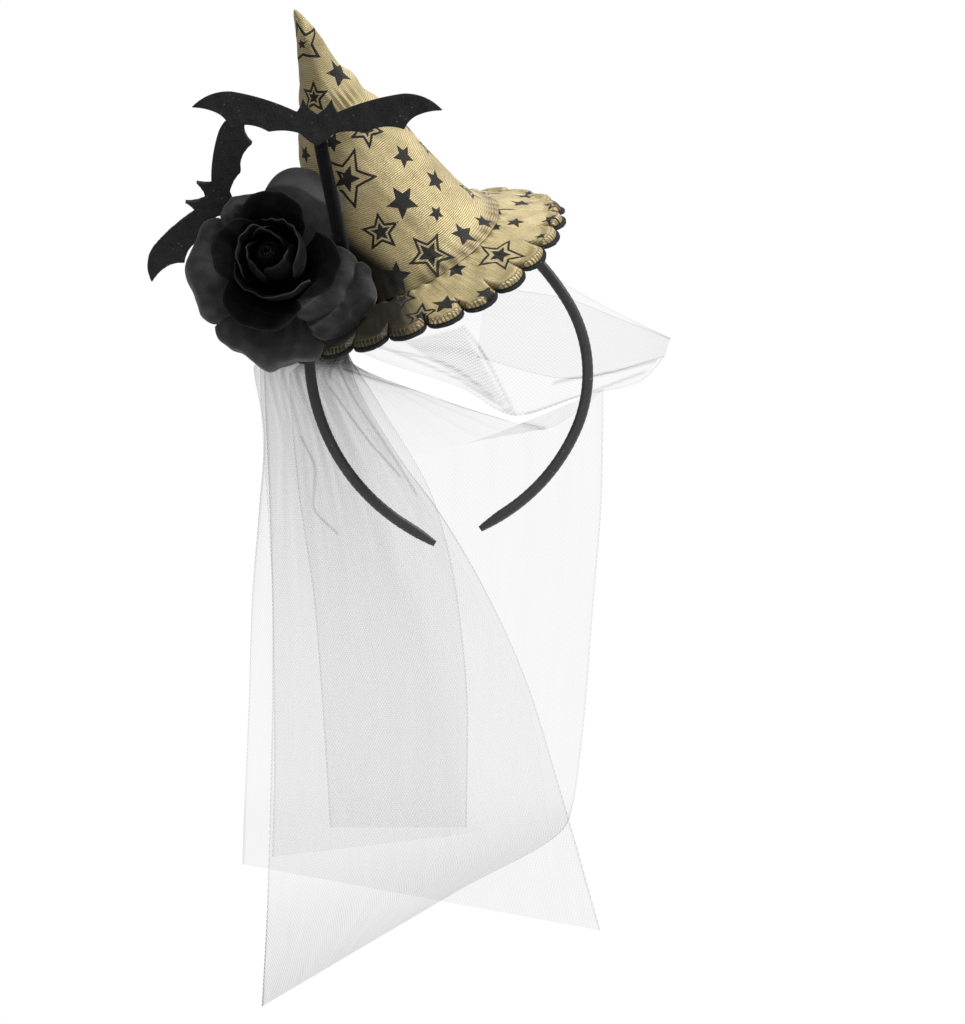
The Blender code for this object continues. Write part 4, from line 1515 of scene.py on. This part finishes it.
@dataclass
class Rose:
    """A black silk rose: a rolled heart and petals whose rims curl outwards.

    A petal is narrower at its foot and rounded at its corners. The stalk is seated on the brim
    and passes one point on its way into the rose.
    """

    root: tuple = (-91.0, -71.0, -16.5)
    out: tuple = (-0.15, -0.966, 0.2)
    petal_root: float = 4.0
    foot_share: float = 0.7
    widens: float = 0.4
    corner: float = 0.3
    silk: float = 0.45
    most_curl: float = 118.0
    heart_turns: float = 2.6
    heart_bulge: tuple = ((0, 2.6), (0.25, 6.5), (0.6, 8.6), (0.85, 6.4), (1.0, 4.2))
    heart_map: tuple = (110.0, 50.0)
    stalk_seat: tuple = (61.0, 166.0)
    stalk_pass: tuple = (-87.0, -48.0, -21.8)
    stalk_end: float = -12.1
    stalk_radius: float = 2.8
    petals: tuple = (
        Petal(0.0, 75, 66, 11.5, 19.5, 168, 0.0, 1.0, rim_highlight=0.5),
        Petal(0.0, 195, 66, 11.5, 19.5, 166, 0.0, 1.0, rim_highlight=0.5),
        Petal(0.0, 315, 66, 11.5, 19.5, 162, 0.0, 1.0, rim_highlight=0.5),
        Petal(-3.2, 30, 74, 17.0, 22.0, 146, 0.1, 0.95, 0.5, 0.9),
        Petal(-2.2, 150, 70, 15.5, 21.5, 150, 0.1, 0.95, -0.5, 0.9),
        Petal(-4.2, 256, 72, 20.0, 20.5, 130, 0.3, 0.9, rim_highlight=0.9),
        Petal(-6.4, -14, 49, 26, 31, 84, 0.9, 0.8), Petal(-6.4, 92, 44, 27, 32, 84, 0.8, 0.85),
        Petal(-6.4, 160, 46, 25, 30, 84, 0.8, 0.85), Petal(-6.4, 250, 49, 29, 31, 84, 0.8, 0.85),
        Petal(-9.6, -27, 42, 32.5, 29, 78, 8.0, 0.0, 0.8), Petal(-13.0, 65, 37, 41, 34, 78, 1.2, -0.8),
        Petal(-9.6, 122, 22, 35, 28, 78, 2.0, 0.5), Petal(-9.6, 182, 42, 43, 25, 78, 7.5, 0.0, -0.4),
        Petal(-9.6, 261, 38, 50, 20, 76, 8.0, 0.1), Petal(-12.0, -32, 32, 44, 30, 80, 5.5, 0.4, 0.5),
    )

    def axes(self) -> np.ndarray:
        """Rows right, top and out, as the viewer sees the rose.

        Returns:
            The three rows.
        """
        out = unit(np.array(self.out))
        right = unit(np.array([1.0, 0, 0]) - out * out[0])
        return np.array([right, -np.cross(right, out), out])

    def point(self, radius: np.ndarray, turn: np.ndarray, out: np.ndarray) -> np.ndarray:
        """Points round the rose's middle line."""
        cos, sin = turned(turn)
        return np.array(self.root) + np.stack([radius * cos, radius * sin, out], -1) @ self.axes()

    def petal_place(self, petal: Petal, seed: int) -> Place:
        """How one petal's sheet is put in place.

        Args:
            petal: its bowl and curl.
            seed: which small unevenness it has.

        Returns:
            A function that places the sheet's points.
        """
        start = 0.80 - 0.018 * petal.roll
        curl = 1.1 + 0.62 * petal.roll
        reach = petal.reach - self.petal_root
        length = math.radians(petal.opening) * (reach + petal.rise) / 2

        def place(u: np.ndarray, v: np.ndarray) -> np.ndarray:
            """Points of the petal, which follows its bowl and then curls outwards.

            Args:
                u: shares of the way across it.
                v: shares of the way from its foot to its rim.

            Returns:
                A row in millimetres for each pair of shares.
            """
            across = 2 * u - 1
            uneven = ripples(np.stack([across * 2.0, np.full_like(u, seed * 3.7)], 1), 1.5, seed + 50)
            pinch = ripples(np.stack([across * 5.0, np.full_like(u, seed * 2.3)], 1), 1.7, seed + 20)
            widened = smooth(v / self.widens)
            half = petal.half_width * (self.foot_share + (1 - self.foot_share) * widened)
            trim = 1 - self.corner * np.abs(across) ** 2.6
            share = v * (1 + 0.12 * min(petal.roll / 3, 1)) * trim
            angle = np.radians(petal.opening * np.minimum(share, start))
            beyond = np.maximum(share - start, 0) * length
            size = curl * (1 + 0.2 * uneven) * (1 + 0.6 * petal.skew * across)
            turn = np.minimum(beyond / size, np.radians(self.most_curl * smooth(0.25 + petal.roll / 4.0)))
            rest = beyond - turn * size
            ahead = unit(np.stack([reach * np.cos(angle), petal.rise * np.sin(angle)], 1))
            outward = np.stack([ahead[:, 1], -ahead[:, 0]], 1)
            sin, cos = np.sin(turn), np.cos(turn)
            shift = (ahead * (sin * size + rest * cos)[:, None]
                     + outward * ((1 - cos) * size + rest * sin)[:, None])
            wave = (0.7 * uneven + 0.35 * pinch) * smooth((share - 0.4) / 0.6)
            push = 1.5 * across * widened + wave
            radius = self.petal_root + reach * np.sin(angle) + shift[:, 0] + push * np.sin(angle)
            out = petal.foot + petal.rise * (1 - np.cos(angle)) + shift[:, 1] - push * np.cos(angle)
            return self.point(radius, petal.turn + half * across, out)

        return place

    def build_petal(self, number: int, petal: Petal, finish: bpy.types.Material) -> None:
        """Makes one petal and hands it over.

        Args:
            number: its number in the CAD, from 1.
            petal: its bowl and curl.
            finish: the silk.
        """
        piece, shares = lay_grid(f"silk_petal_{number:02d}", 44, 48, self.petal_place(petal, number))
        wide = 2 * math.radians(petal.half_width) * petal.reach * 0.8
        long = math.radians(petal.opening) * (petal.reach + petal.rise) / 2
        cloth = shares * np.array([wide, long])
        lay_uv(piece, cloth)
        u, v = shares.T
        # A painted highlight along the rim and the side edges.
        rim = np.maximum(smooth((v - 0.965) / 0.03), 0.8 * smooth((np.abs(2 * u - 1) - 0.96) / 0.04))
        mark(piece, "rim", rim * petal.rim_highlight * (0.8 + 0.2 * ripples(shares * 10, 4.0, number)))
        # The depth mark: painted shade given per petal (below 0, painted light), more towards the foot deep
        # in the rose and less at the rim, with random blotches.
        at_rim, at_foot = smooth((v - 0.8) / 0.2), 1 - smooth(v / 0.55)
        blotch = 0.16 * ripples(cloth, 9.0, number + 80)
        mark(piece, "depth", petal.dark * (1 - 0.45 * at_rim) + 0.75 * at_foot + blotch)
        modify(piece, "SOLIDIFY", thickness=self.silk * MM, offset=0.0)
        hand_over(piece, f"rose_petal_{number:02d}", Slot.SILK, finish)

    def place_heart(self, u: np.ndarray, v: np.ndarray) -> np.ndarray:
        """Points of the rolled strip at the rose's heart.

        Args:
            u: shares of the strip's length, from its inner end.
            v: shares of its height.

        Returns:
            A row in millimetres for each pair of shares.
        """
        turn = 360 * self.heart_turns * u
        wave = 1 + 0.05 * np.sin(np.radians(turn * 1.5))
        radius = flow(v, *zip(*self.heart_bulge)) * (0.22 + 0.78 * u) * wave
        out = -11.5 + 51.0 * v * (1 - 0.06 * u) - 2.5 * u * smooth(v)
        return self.point(radius, turn, out)

    def build_heart(self) -> bpy.types.Object:
        """Makes the rolled heart.

        Returns:
            The heart.
        """
        piece, shares = lay_grid("silk_heart", 160, 50, self.place_heart)
        lay_uv(piece, shares * np.array(self.heart_map))
        # A faint painted highlight on the top rim, and painted shade that keeps the heart nearly black, a
        # little less near its top.
        mark(piece, "rim", smooth((shares[:, 1] - 0.97) / 0.02) * 0.08)
        mark(piece, "depth", 0.95 - 0.1 * smooth((shares[:, 1] - 0.8) / 0.2))
        modify(piece, "SOLIDIFY", thickness=self.silk * MM, offset=0.0)
        return piece

    def stalk_way(self) -> tuple:
        """The points that the stalk passes on its way from the brim into the rose."""
        end = self.point(np.array([0.0]), np.array([0.0]), np.array([self.stalk_end]))[0]
        return self.stalk_pass, tuple(end)


# Bats and their wires

@dataclass(frozen=True)
class Bat:
    """Where a bat flies, its wire's seat on the brim and the points on the wire's way.

    Wing and head are the directions of its right wing and of its head. The seat is a radius and a
    direction on the brim.
    """

    name: str
    middle: tuple
    wing: tuple
    head: tuple
    seat: tuple
    route: tuple


@dataclass
class Bats:
    """Flocked felt bats on fuzzy wires that stand on the brim.

    The outline is half a bat from its head over the right wing to its tail: across, up, and how
    far the stretch that ends there is bowed. A wire has a round core and short loose fibres.
    """

    brim: Brim
    thick: float = 3.0
    flights: tuple = (
        Bat("front", (-71.9, -98.0, 53.2), (1.0, 0.0, -0.012), (0.012, 0.0, 1.0), (57.0, 128.0),
            ((-59.0, -63.9, -19.0), (-59.6, -68.4, -9.5), (-62.0, -78.6, 3.0), (-66.6, -87.4, 25.0),
             (-70.2, -94.4, 43.0), (-71.2, -95.2, 51.0))),
        Bat("left", (-123.2, -45.0, 15.7), (0.392, -0.62, 0.675), (-0.905, -0.197, 0.345), (62.0, 188.0),
            ((-99.0, -26.0, 0.0), (-122.8, -41.4, 18.8))),
    )
    outline: tuple = ((0.0, 3.8, 0.0), (7.0, 11.6, -0.9), (9.8, 4.8, -0.3), (42.0, 14.4, 1.2),
                      (61.4, 6.2, 2.4), (50.0, 4.2, -0.6), (42.6, -3.2, -1.2), (23.4, -5.2, -2.2),
                      (8.0, -5.8, -1.0), (0.0, -11.8, 0.4))
    steps: int = 8
    voxel: float = 0.5
    wire_radius: float = 3.7
    wire_strands: float = 60.0
    stations: int = 160
    core_share: float = 0.9
    fibre: float = 0.16

    def edge(self) -> np.ndarray:
        """The bat's outline, each stretch bowed as its row says.

        Returns:
            Rows across and up, once round the bat.
        """
        half = [self.outline[0][:2]]
        for start, end in zip(self.outline, self.outline[1:]):
            run = np.array(end[:2]) - np.array(start[:2])
            square = np.array([-run[1], run[0]]) / np.linalg.norm(run)
            for k in range(1, self.steps + 1):
                t = k / self.steps
                bow = end[2] * 4 * t * (1 - t)
                half.append(np.array(start[:2]) + run * t + square * bow)
        right = np.array(half)
        left = right[-2:0:-1] * np.array([-1, 1])
        return np.vstack([right, left])

    def build_bat(self, bat: Bat) -> bpy.types.Object:
        """Makes one bat: its outline is filled, drawn out and rounded off like die-cut felt.

        Args:
            bat: where it flies.

        Returns:
            The bat.
        """
        edge = self.edge()
        deselect()
        bpy.ops.mesh.primitive_circle_add(vertices=len(edge), radius=0.05)
        piece = bpy.context.object
        piece.name = piece.data.name = f"felt_bat_{bat.name}"
        put_points(piece, np.column_stack([edge, np.full(len(edge), -self.thick / 2)]))
        with editing(piece):
            bpy.ops.mesh.edge_face_add()
            bpy.ops.mesh.extrude_region_move(TRANSFORM_OT_translate={"value": (0, 0, self.thick * MM)})
            bpy.ops.mesh.select_all(action="SELECT")
            bpy.ops.mesh.normals_make_consistent(inside=False)
        modify(piece, "REMESH", mode="VOXEL", voxel_size=self.voxel * MM)
        modify(piece, "SMOOTH", factor=0.5, iterations=3)
        local = points_of(piece)
        fuzz = 0.05 * ripples(local, 1.6, 61, 40) + 0.12 * ripples(local, 9.0, 62)
        local[:, 2] += np.sign(local[:, 2]) * fuzz
        wing, head = unit(np.array(bat.wing)), unit(np.array(bat.head))
        put_points(piece, np.array(bat.middle) + local @ np.array([wing, head, np.cross(wing, head)]))
        close_seams(piece, 0.001)
        return piece

    def from_seat(self, seat: tuple, route: Sequence[tuple]) -> np.ndarray:
        """A wire's whole way, which starts square to the brim.

        Args:
            seat: the radius and direction of its seat on the brim.
            route: the points that it passes after that.

        Returns:
            A row for each point.
        """
        radius, turn = seat
        foot = self.brim.spot(radius, turn)
        outwards, aside = self.brim.spot(radius + 1, turn) - foot, self.brim.spot(radius, turn + 1) - foot
        square = unit(np.cross(outwards, aside))
        if square @ self.brim.hat.axes()[2] < 0:
            square = -square
        return np.vstack([foot + square * 0.6, foot + square * 5.0, *route])

    def build_wire(self, name: str, way: np.ndarray, radius: float, strands: float,
                   seed: int) -> bpy.types.Object:
        """Makes a fuzzy wire: a round core and many short fibres that stand out from it.

        Args:
            name: the piece's name.
            way: the points it passes through.
            radius: how far its fibres reach.
            strands: fibres to a millimetre.
            seed: which fibres.

        Returns:
            The wire.
        """
        last = self.stations - 1
        reach = np.concatenate([[0], np.cumsum(np.linalg.norm(np.diff(way, axis=0), axis=1))])
        line = flow(np.linspace(0, reach[-1], self.stations), reach, way)
        stations = np.arange(self.stations)
        ends = np.sqrt(np.clip(np.minimum(stations, stations[::-1]) / 5.0, 0.02, 1.0))
        core = radius * self.core_share
        piece, _ = lay_grid(name, 12, 120, tube(line, core * ends, np.array([1.0, 0, 0])))
        close_seams(piece)
        random = np.random.default_rng(seed)
        count = int(reach[-1] * strands)
        at = random.uniform(0.01, 0.99, count) * last
        low = at.astype(int)
        share = (at - low)[:, None]
        foot = line[low] * (1 - share) + line[np.minimum(low + 1, last)] * share
        ahead = unit(np.gradient(line, axis=0)[low])
        way_out = random.normal(size=(count, 3))
        way_out = unit(way_out - ahead * (way_out * ahead).sum(1, keepdims=True))
        lean = ahead * random.uniform(-0.5, 0.5, (count, 1))
        length = radius * random.uniform(0.9, 1.14, (count, 1))
        side = unit(np.cross(way_out, ahead)) * self.fibre
        tips = foot + unit(way_out + lean) * length
        base = foot + way_out * core * 0.6
        corners = np.stack([base - side, base + side, tips], 1).reshape(-1, 3)
        fibres = bpy.data.meshes.new(name + "_fibres")
        fibres.from_pydata((corners * MM).tolist(), [], np.arange(count * 3).reshape(-1, 3).tolist())
        coat = bpy.data.objects.new(name + "_fibres", fibres)
        bpy.context.scene.collection.objects.link(coat)
        take(piece)
        coat.select_set(True)
        bpy.ops.object.join()
        return piece


# The veil

@dataclass(frozen=True)
class Sheet:
    """A hanging sheet of net: its pleats, its cut size in metres and its lines from the gather down.

    Each line is its left and right ends across and up, its depth and its pleats' depth. Folds are
    dark lines seen from the front, and doubled is a patch where the net lies twice. Cover is how
    dense the net looks: right_thins takes away at the right, end_cover adds at the lower end, and
    crowding says how much denser the net looks where it is gathered.
    """

    name: str
    pleats: float
    flat: tuple
    rows: tuple
    folds: tuple = ()
    cover: float = 1.0
    right_thins: float = 0.0
    end_cover: float = 0.0
    crowding: float = 1.25
    doubled: tuple = ()


NECK = ((-73.5, -34.0), (-64.0, -26.0))
THROAT = ((-71.5, -57.0), (-57.5, -57.5))


@dataclass
class Veil:
    """Black net, gathered behind the hat: four hanging sheets and a loop out to the right."""

    faces_to_metre: float = 900.0
    fold_points: int = 16
    sheets: tuple = (
        Sheet("veil_front", 3.5, (0.150, 0.300), (
            (*NECK, 4.4, 0.0), (*THROAT, 6.5, 0.5), ((-103.5, -65.5), (-54.5, -70.0), 8.5, 1.4),
            ((-98.5, -101.0), (-32.0, -110.0), 9.5, 2.0), ((-101.0, -137.0), (-13.0, -136.0), 10.0, 2.0),
            ((-104.5, -183.0), (9.0, -173.0), 10.0, 1.6), ((-106.0, -232.0), (30.0, -219.0), 9.5, 1.2),
            ((-108.0, -280.0), (48.0, -277.0), 9.0, 1.0), ((-109.0, -309.5), (66.5, -342.0), 8.5, 0.8)),
            end_cover=0.6,
            folds=(((-66.0, -76.0), (-45.9, -103.4), (-31.7, -119.1)),
                   ((-59.1, -66.7), (-38.1, -73.5), (-19.9, -78.0)))),
        Sheet("veil_inner", 2.5, (0.070, 0.260), (
            (*NECK, 5.8, 0.0), (*THROAT, 9.6, 0.4), ((-86.0, -70.0), (-44.0, -80.0), 14.2, 1.2),
            ((-82.0, -123.0), (-14.0, -134.0), 16.0, 1.6), ((-74.0, -180.0), (-3.0, -183.0), 16.5, 1.2),
            ((-69.5, -237.0), (1.5, -237.0), 16.0, 1.0), ((-66.0, -291.5), (1.0, -291.5), 15.5, 0.8)),
            cover=1.1,
            folds=(((-62.0, -66.0), (-55.0, -80.0), (-36.0, -108.0), (-24.0, -128.0)),)),
        Sheet("veil_under", 3.0, (0.110, 0.280), (
            (*NECK, 7.2, 0.0), (*THROAT, 12.4, 0.4), ((-98.5, -66.5), (-50.0, -78.0), 18.8, 1.2),
            ((-95.5, -140.0), (-16.0, -140.0), 21.5, 1.4), ((-94.0, -205.0), (17.0, -195.0), 21.5, 1.2),
            ((-93.5, -260.0), (36.0, -250.0), 21.0, 1.0), ((-94.5, -306.0), (41.0, -290.0), 20.5, 0.8)),
            right_thins=0.85, cover=1.15,
            folds=(((-80.2, -100.0), (-73.4, -116.7), (-74.3, -133.3), (-62.6, -147.5)),)),
        Sheet("veil_back", 4.5, (0.155, 0.330), (
            (*NECK, 8.6, 0.0), ((-71.5, -57.0), (-57.5, -61.0), 15.4, 0.4),
            ((-100.5, -66.0), (-20.0, -78.5), 22.2, 1.0), ((-99.5, -96.0), (15.0, -90.0), 25.0, 1.6),
            ((-98.0, -118.0), (39.5, -96.0), 27.0, 1.8), ((-96.0, -146.0), (68.0, -76.5), 27.5, 1.8),
            ((-94.5, -178.0), (67.5, -122.0), 27.0, 1.6), ((-94.5, -222.0), (63.0, -184.0), 26.5, 1.4),
            ((-95.2, -265.0), (57.0, -254.0), 26.0, 1.2), ((-97.0, -330.0), (51.0, -288.0), 25.5, 1.0),
            ((-99.6, -379.5), (-9.0, -326.0), 25.0, 0.8)),
            end_cover=1.4, cover=1.05,
            folds=(((-59.1, -66.7), (-38.1, -73.5), (-19.9, -78.0), (-3.8, -84.3), (14.8, -89.7),
                    (39.3, -96.1)),
                   ((-56.0, -62.0), (-30.0, -68.0), (0.0, -77.0), (24.6, -90.5)))),
        Sheet("veil_loop", 1.5, (0.046, 0.270), (
            (*NECK, 10.2, 0.0), ((-60.5, -52.5), (-52.0, -33.0), 16.6, 0.3),
            ((-43.0, -62.0), (-35.0, -37.0), 17.2, 0.4), ((-1.5, -76.0), (2.0, -22.0), 17.0, 0.8),
            ((25.0, -89.5), (30.0, -12.0), 17.0, 1.0), ((57.0, -80.0), (52.0, -26.5), 17.5, 1.0),
            ((86.0, -73.0), (80.0, -41.5), 18.0, 0.8), ((98.0, -60.5), (101.0, -51.5), 20.5, 0.0),
            ((92.0, -62.5), (84.0, -45.0), 23.0, 0.4), ((52.0, -71.5), (46.0, -31.0), 23.0, 0.8),
            ((6.0, -61.0), (10.0, -26.0), 22.0, 0.8)),
            cover=0.8, crowding=0.25, doubled=((-35.1, -53.9), (-1.3, -45.6), (24.6, -89.7), (-1.3, -72.6)),
            folds=(((24.6, -89.7), (17.3, -74.5), (8.0, -57.4), (-1.3, -45.6)),
                   ((93.5, -62.6), (72.7, -68.2), (43.8, -73.1)),
                   ((-50.0, -52.0), (-1.3, -72.6), (24.6, -89.7)),
                   ((-42.0, -56.0), (-10.0, -64.0), (24.6, -89.7)),
                   ((87.9, -68.2), (56.5, -79.9), (30.0, -89.2)))),
    )

    def place(self, sheet: Sheet) -> Place:
        """How a sheet hangs between its two sides.

        Args:
            sheet: the sheet.

        Returns:
            A function that places its points.
        """
        rows = np.array([[*left, *right, back, pleat] for left, right, back, pleat in sheet.rows])
        middle = (rows[:, 0:2] + rows[:, 2:4]) / 2
        steps = np.linalg.norm(np.diff(np.column_stack([middle, rows[:, 4]]), axis=0), axis=1)
        knots = np.concatenate([[0], np.cumsum(steps)]) / steps.sum()

        def put(u: np.ndarray, v: np.ndarray) -> np.ndarray:
            """Points of the sheet.

            Args:
                u: shares of the way across it.
                v: shares of the way down.

            Returns:
                A row in millimetres for each pair of shares.
            """
            left_x, left_z, right_x, right_z, back, pleat = flow(v, knots, rows).T
            wave = np.sin(2 * np.pi * sheet.pleats * u)
            small = np.sin(2 * np.pi * sheet.pleats * 3.3 * u + 4 * v)
            depth = back + pleat * (wave + 0.25 * small)
            return np.stack([left_x + (right_x - left_x) * u, depth, left_z + (right_z - left_z) * u], 1)

        return put

    def width_at(self, sheet: Sheet, u: np.ndarray, v: np.ndarray) -> np.ndarray:
        """How wide the hanging sheet would be if it were as wide as here all across.

        Args:
            sheet: the sheet.
            u: shares of the way across it.
            v: shares of the way down.

        Returns:
            A width in millimetres at each place.
        """
        place, nudge = self.place(sheet), 1e-3
        low, high = np.maximum(u - nudge, 0), np.minimum(u + nudge, 1)
        return np.linalg.norm(place(high, v) - place(low, v), axis=1) / (high - low)

    def cover(self, sheet: Sheet, shares: np.ndarray, seen: np.ndarray) -> np.ndarray:
        """How dense the net looks: more in the gather, on pleats, at the edges and where it is doubled.

        Args:
            sheet: the sheet.
            shares: each point's two shares across and down.
            seen: each point's place across and up.

        Returns:
            A factor for each point.
        """
        u, v = shares.T
        width = self.width_at(sheet, u, v)
        crowd = np.clip(sheet.flat[0] / MM / np.maximum(width, 3.0), 0.9, 5.0) ** sheet.crowding
        ridge = np.abs(np.cos(2 * np.pi * sheet.pleats * u)) ** 6
        pleats = 1 + 0.35 * ridge * (1 - smooth((v - 0.2) / 0.4))
        hem = np.minimum(u * width, (1 - u) * width)
        edge = 1 + (0.6 + 1.6 * smooth((v - 0.2) / 0.2)) * (1 - smooth((hem - 0.3) / 0.7))
        thin = 1 - sheet.right_thins * smooth((u - 0.62) / 0.15)
        ends = 1 + sheet.end_cover * smooth((v - 0.78) / 0.12) + 0.5 * (1 - smooth((v - 0.06) / 0.16))
        twice = 1 + 2.6 * inside(seen, sheet.doubled) if sheet.doubled else 1.0
        return sheet.cover * crowd * pleats * edge * thin * ends * twice

    def fold_lines(self, sheet: Sheet, seen: np.ndarray) -> np.ndarray:
        """Where a fold's dark line passes.

        Args:
            sheet: the sheet.
            seen: each point's place across and up.

        Returns:
            A share for each point.
        """
        at = np.linspace(0, 1, self.fold_points)
        lines = np.zeros(len(seen))
        for fold in sheet.folds:
            line = flow(at, np.linspace(0, 1, len(fold)), fold)
            lines = np.maximum(lines, 1 - smooth((near_line(seen, line) - 0.1) / 0.9))
        return lines

    def build(self, sheet: Sheet, finish: bpy.types.Material) -> None:
        """Makes one sheet, maps its net and hands it over.

        Args:
            sheet: the sheet.
            finish: the net.
        """
        columns, rows = (round(size * self.faces_to_metre) for size in sheet.flat)
        piece, shares = lay_grid(sheet.name.replace("veil", "net"), columns, rows, self.place(sheet))
        lay_uv(piece, shares * np.array(sheet.flat) / MM)
        seen = points_of(piece)[:, [0, 2]]
        mark(piece, "cover", self.cover(sheet, shares, seen))
        mark(piece, "fold", self.fold_lines(sheet, seen))
        hand_over(piece, sheet.name, Slot.NET, finish)


# The room

@dataclass
class Studio:
    """A pale floor, soft lights and the camera of the photograph, in metres and watts.

    Height is what the camera sees of the object's plane. Each lamp is its name, its place, its
    size and its power.
    """

    distance: float = 16.0
    aim: tuple = (0.0087, -0.1368)
    height: float = 0.50176
    sensor: float = 36.0
    floor_level: float = -0.46
    floor_radius: float = 1.3
    lamp_aim: tuple = (0.0, 0.0, -0.08)
    lamps: tuple = (("key_lamp", (1.7, -0.5, 2.9), 0.9, 160.0), ("fill_lamp", (-0.6, -3.0, 1.0), 1.6, 12.5),
                    ("back_lamp", (0.6, 2.2, 1.6), 1.2, 12.0))
    surround: float = 0.28

    def build_camera(self) -> None:
        """Adds the camera that looks straight at the object from the front."""
        deselect()
        bpy.ops.object.camera_add(location=(self.aim[0], -self.distance, self.aim[1]),
                                  rotation=(math.pi / 2, 0, 0))
        camera = bpy.context.object
        camera.data.sensor_fit = "VERTICAL"
        camera.data.sensor_height = self.sensor
        camera.data.lens = self.sensor * self.distance / self.height
        camera.data.clip_end = 60.0
        bpy.context.scene.camera = camera

    def build_floor(self) -> None:
        """Adds a round pale floor under the object."""
        deselect()
        bpy.ops.mesh.primitive_circle_add(vertices=64, radius=self.floor_radius, fill_type="NGON")
        floor = bpy.context.object
        floor.name = "studio_floor"
        with editing(floor):
            bpy.ops.transform.translate(value=(0, 0, self.floor_level))
        w, shader, made = new_finish("studio_paper", Roughness=0.8)
        w.feed(shader, {"Base Color": w.tint(w.noise(w.space(), 40.0), grey(0.80), grey(0.84))})
        floor.data.materials.append(made)

    def add_lamp(self, name: str, place: tuple, size: float, power: float) -> None:
        """Adds a soft square lamp that points at the object.

        Args:
            name: its name.
            place: where it hangs, in metres.
            size: its width in metres.
            power: its power in watts.
        """
        deselect()
        bpy.ops.object.light_add(type="AREA", location=place)
        lamp = bpy.context.object
        lamp.name = name
        lamp.data.size = size
        lamp.data.energy = power
        way = np.array(self.lamp_aim) - np.array(place)
        flat = math.hypot(way[0], way[1])
        lamp.rotation_euler = (math.atan2(flat, -way[2]), 0.0, math.atan2(way[1], way[0]) - math.pi / 2)

    def build_surround(self) -> None:
        """Adds a surround that is white to the camera and lights the object weakly."""
        world = bpy.data.worlds.new("studio_white")
        bpy.context.scene.world = world
        world.use_nodes = True
        w = Wiring(world.node_tree)
        for node in list(w.tree.nodes):
            w.tree.nodes.remove(node)
        seen = w.add("ShaderNodeBackground", {"Color": grey(1.0), "Strength": 1.0})
        lit = w.add("ShaderNodeBackground", {"Color": grey(1.0), "Strength": self.surround})
        path = w.add("ShaderNodeLightPath")
        to_camera = path.outputs["Is Camera Ray"]
        mixed = w.add("ShaderNodeMixShader", {0: to_camera, 1: lit.outputs[0], 2: seen.outputs[0]})
        w.add("ShaderNodeOutputWorld", {"Surface": mixed.outputs[0]})
        bpy.context.scene.view_settings.view_transform = "Standard"

    def build(self) -> None:
        """Adds the whole room."""
        self.build_camera()
        self.build_floor()
        for lamp in self.lamps:
            self.add_lamp(*lamp)
        self.build_surround()


def main() -> None:
    """Builds the room and every piece."""
    logging.basicConfig(level=logging.INFO, format="%(message)s")
    Studio().build()
    effects = SharedEffects(threads_group(), grain_group(), lint_group(), star_group())
    gold = GoldCloth().build(effects)
    felt = Felt().build("lining_felt", effects)
    flock = Felt(base=0.010, raised=0.034, lint=0.16).build("bat_flock", effects, 1700.0, 0.05)
    fuzz = Felt(base=0.0015, raised=0.005).build("wire_fuzz", effects, 2200.0, 0.01)
    silk, satin, net = Silk().build(effects), Satin().build(effects), Net().build()
    # A darker copy of the silk with less sheen and gloss: painted shade for the heart and the petals deep in
    # the rose.
    shaded_silk_look = Silk("rose_heart_silk", base=0.004, lit=0.016, rim=0.06, sheen=0.02, gloss=0.08)
    shaded_silk = shaded_silk_look.build(effects)
    hat = HatFrame()
    hand_over(Crown(hat).build(), "hat_crown", Slot.GOLD, gold)
    brim = Brim(hat)
    cloth = brim.build()
    hand_over(cloth, "hat_brim", Slot.GOLD, gold)
    lining = brim.build_lining()
    hand_over(lining, "brim_lining", Slot.FELT, felt)
    hand_over(Hoop().build(), "headband", Slot.SATIN, satin)
    rose = Rose()
    hand_over(rose.build_heart(), "rose_bud", Slot.SILK, shaded_silk)
    # Petals with much painted shade take the shaded silk.
    for number, petal in enumerate(rose.petals, 1):
        rose.build_petal(number, petal, shaded_silk if petal.dark > 0.5 else silk)
    bats = Bats(brim)
    for seed, bat in enumerate(bats.flights, 71):
        hand_over(bats.build_bat(bat), f"bat_{bat.name}", Slot.FLOCK, flock)
        way = bats.from_seat(bat.seat, bat.route)
        wire = bats.build_wire(f"fuzzy_wire_{bat.name}", way, bats.wire_radius, bats.wire_strands, seed)
        hand_over(wire, f"stem_{bat.name}", Slot.CHENILLE, fuzz)
    way = bats.from_seat(rose.stalk_seat, rose.stalk_way())
    stalk = bats.build_wire("fuzzy_stalk", way, rose.stalk_radius, 30.0, 80)
    hand_over(stalk, "rose_stalk", Slot.CHENILLE, fuzz)
    veil = Veil()
    for sheet in veil.sheets:
        veil.build(sheet, net)


if __name__ == "__main__":
    main()
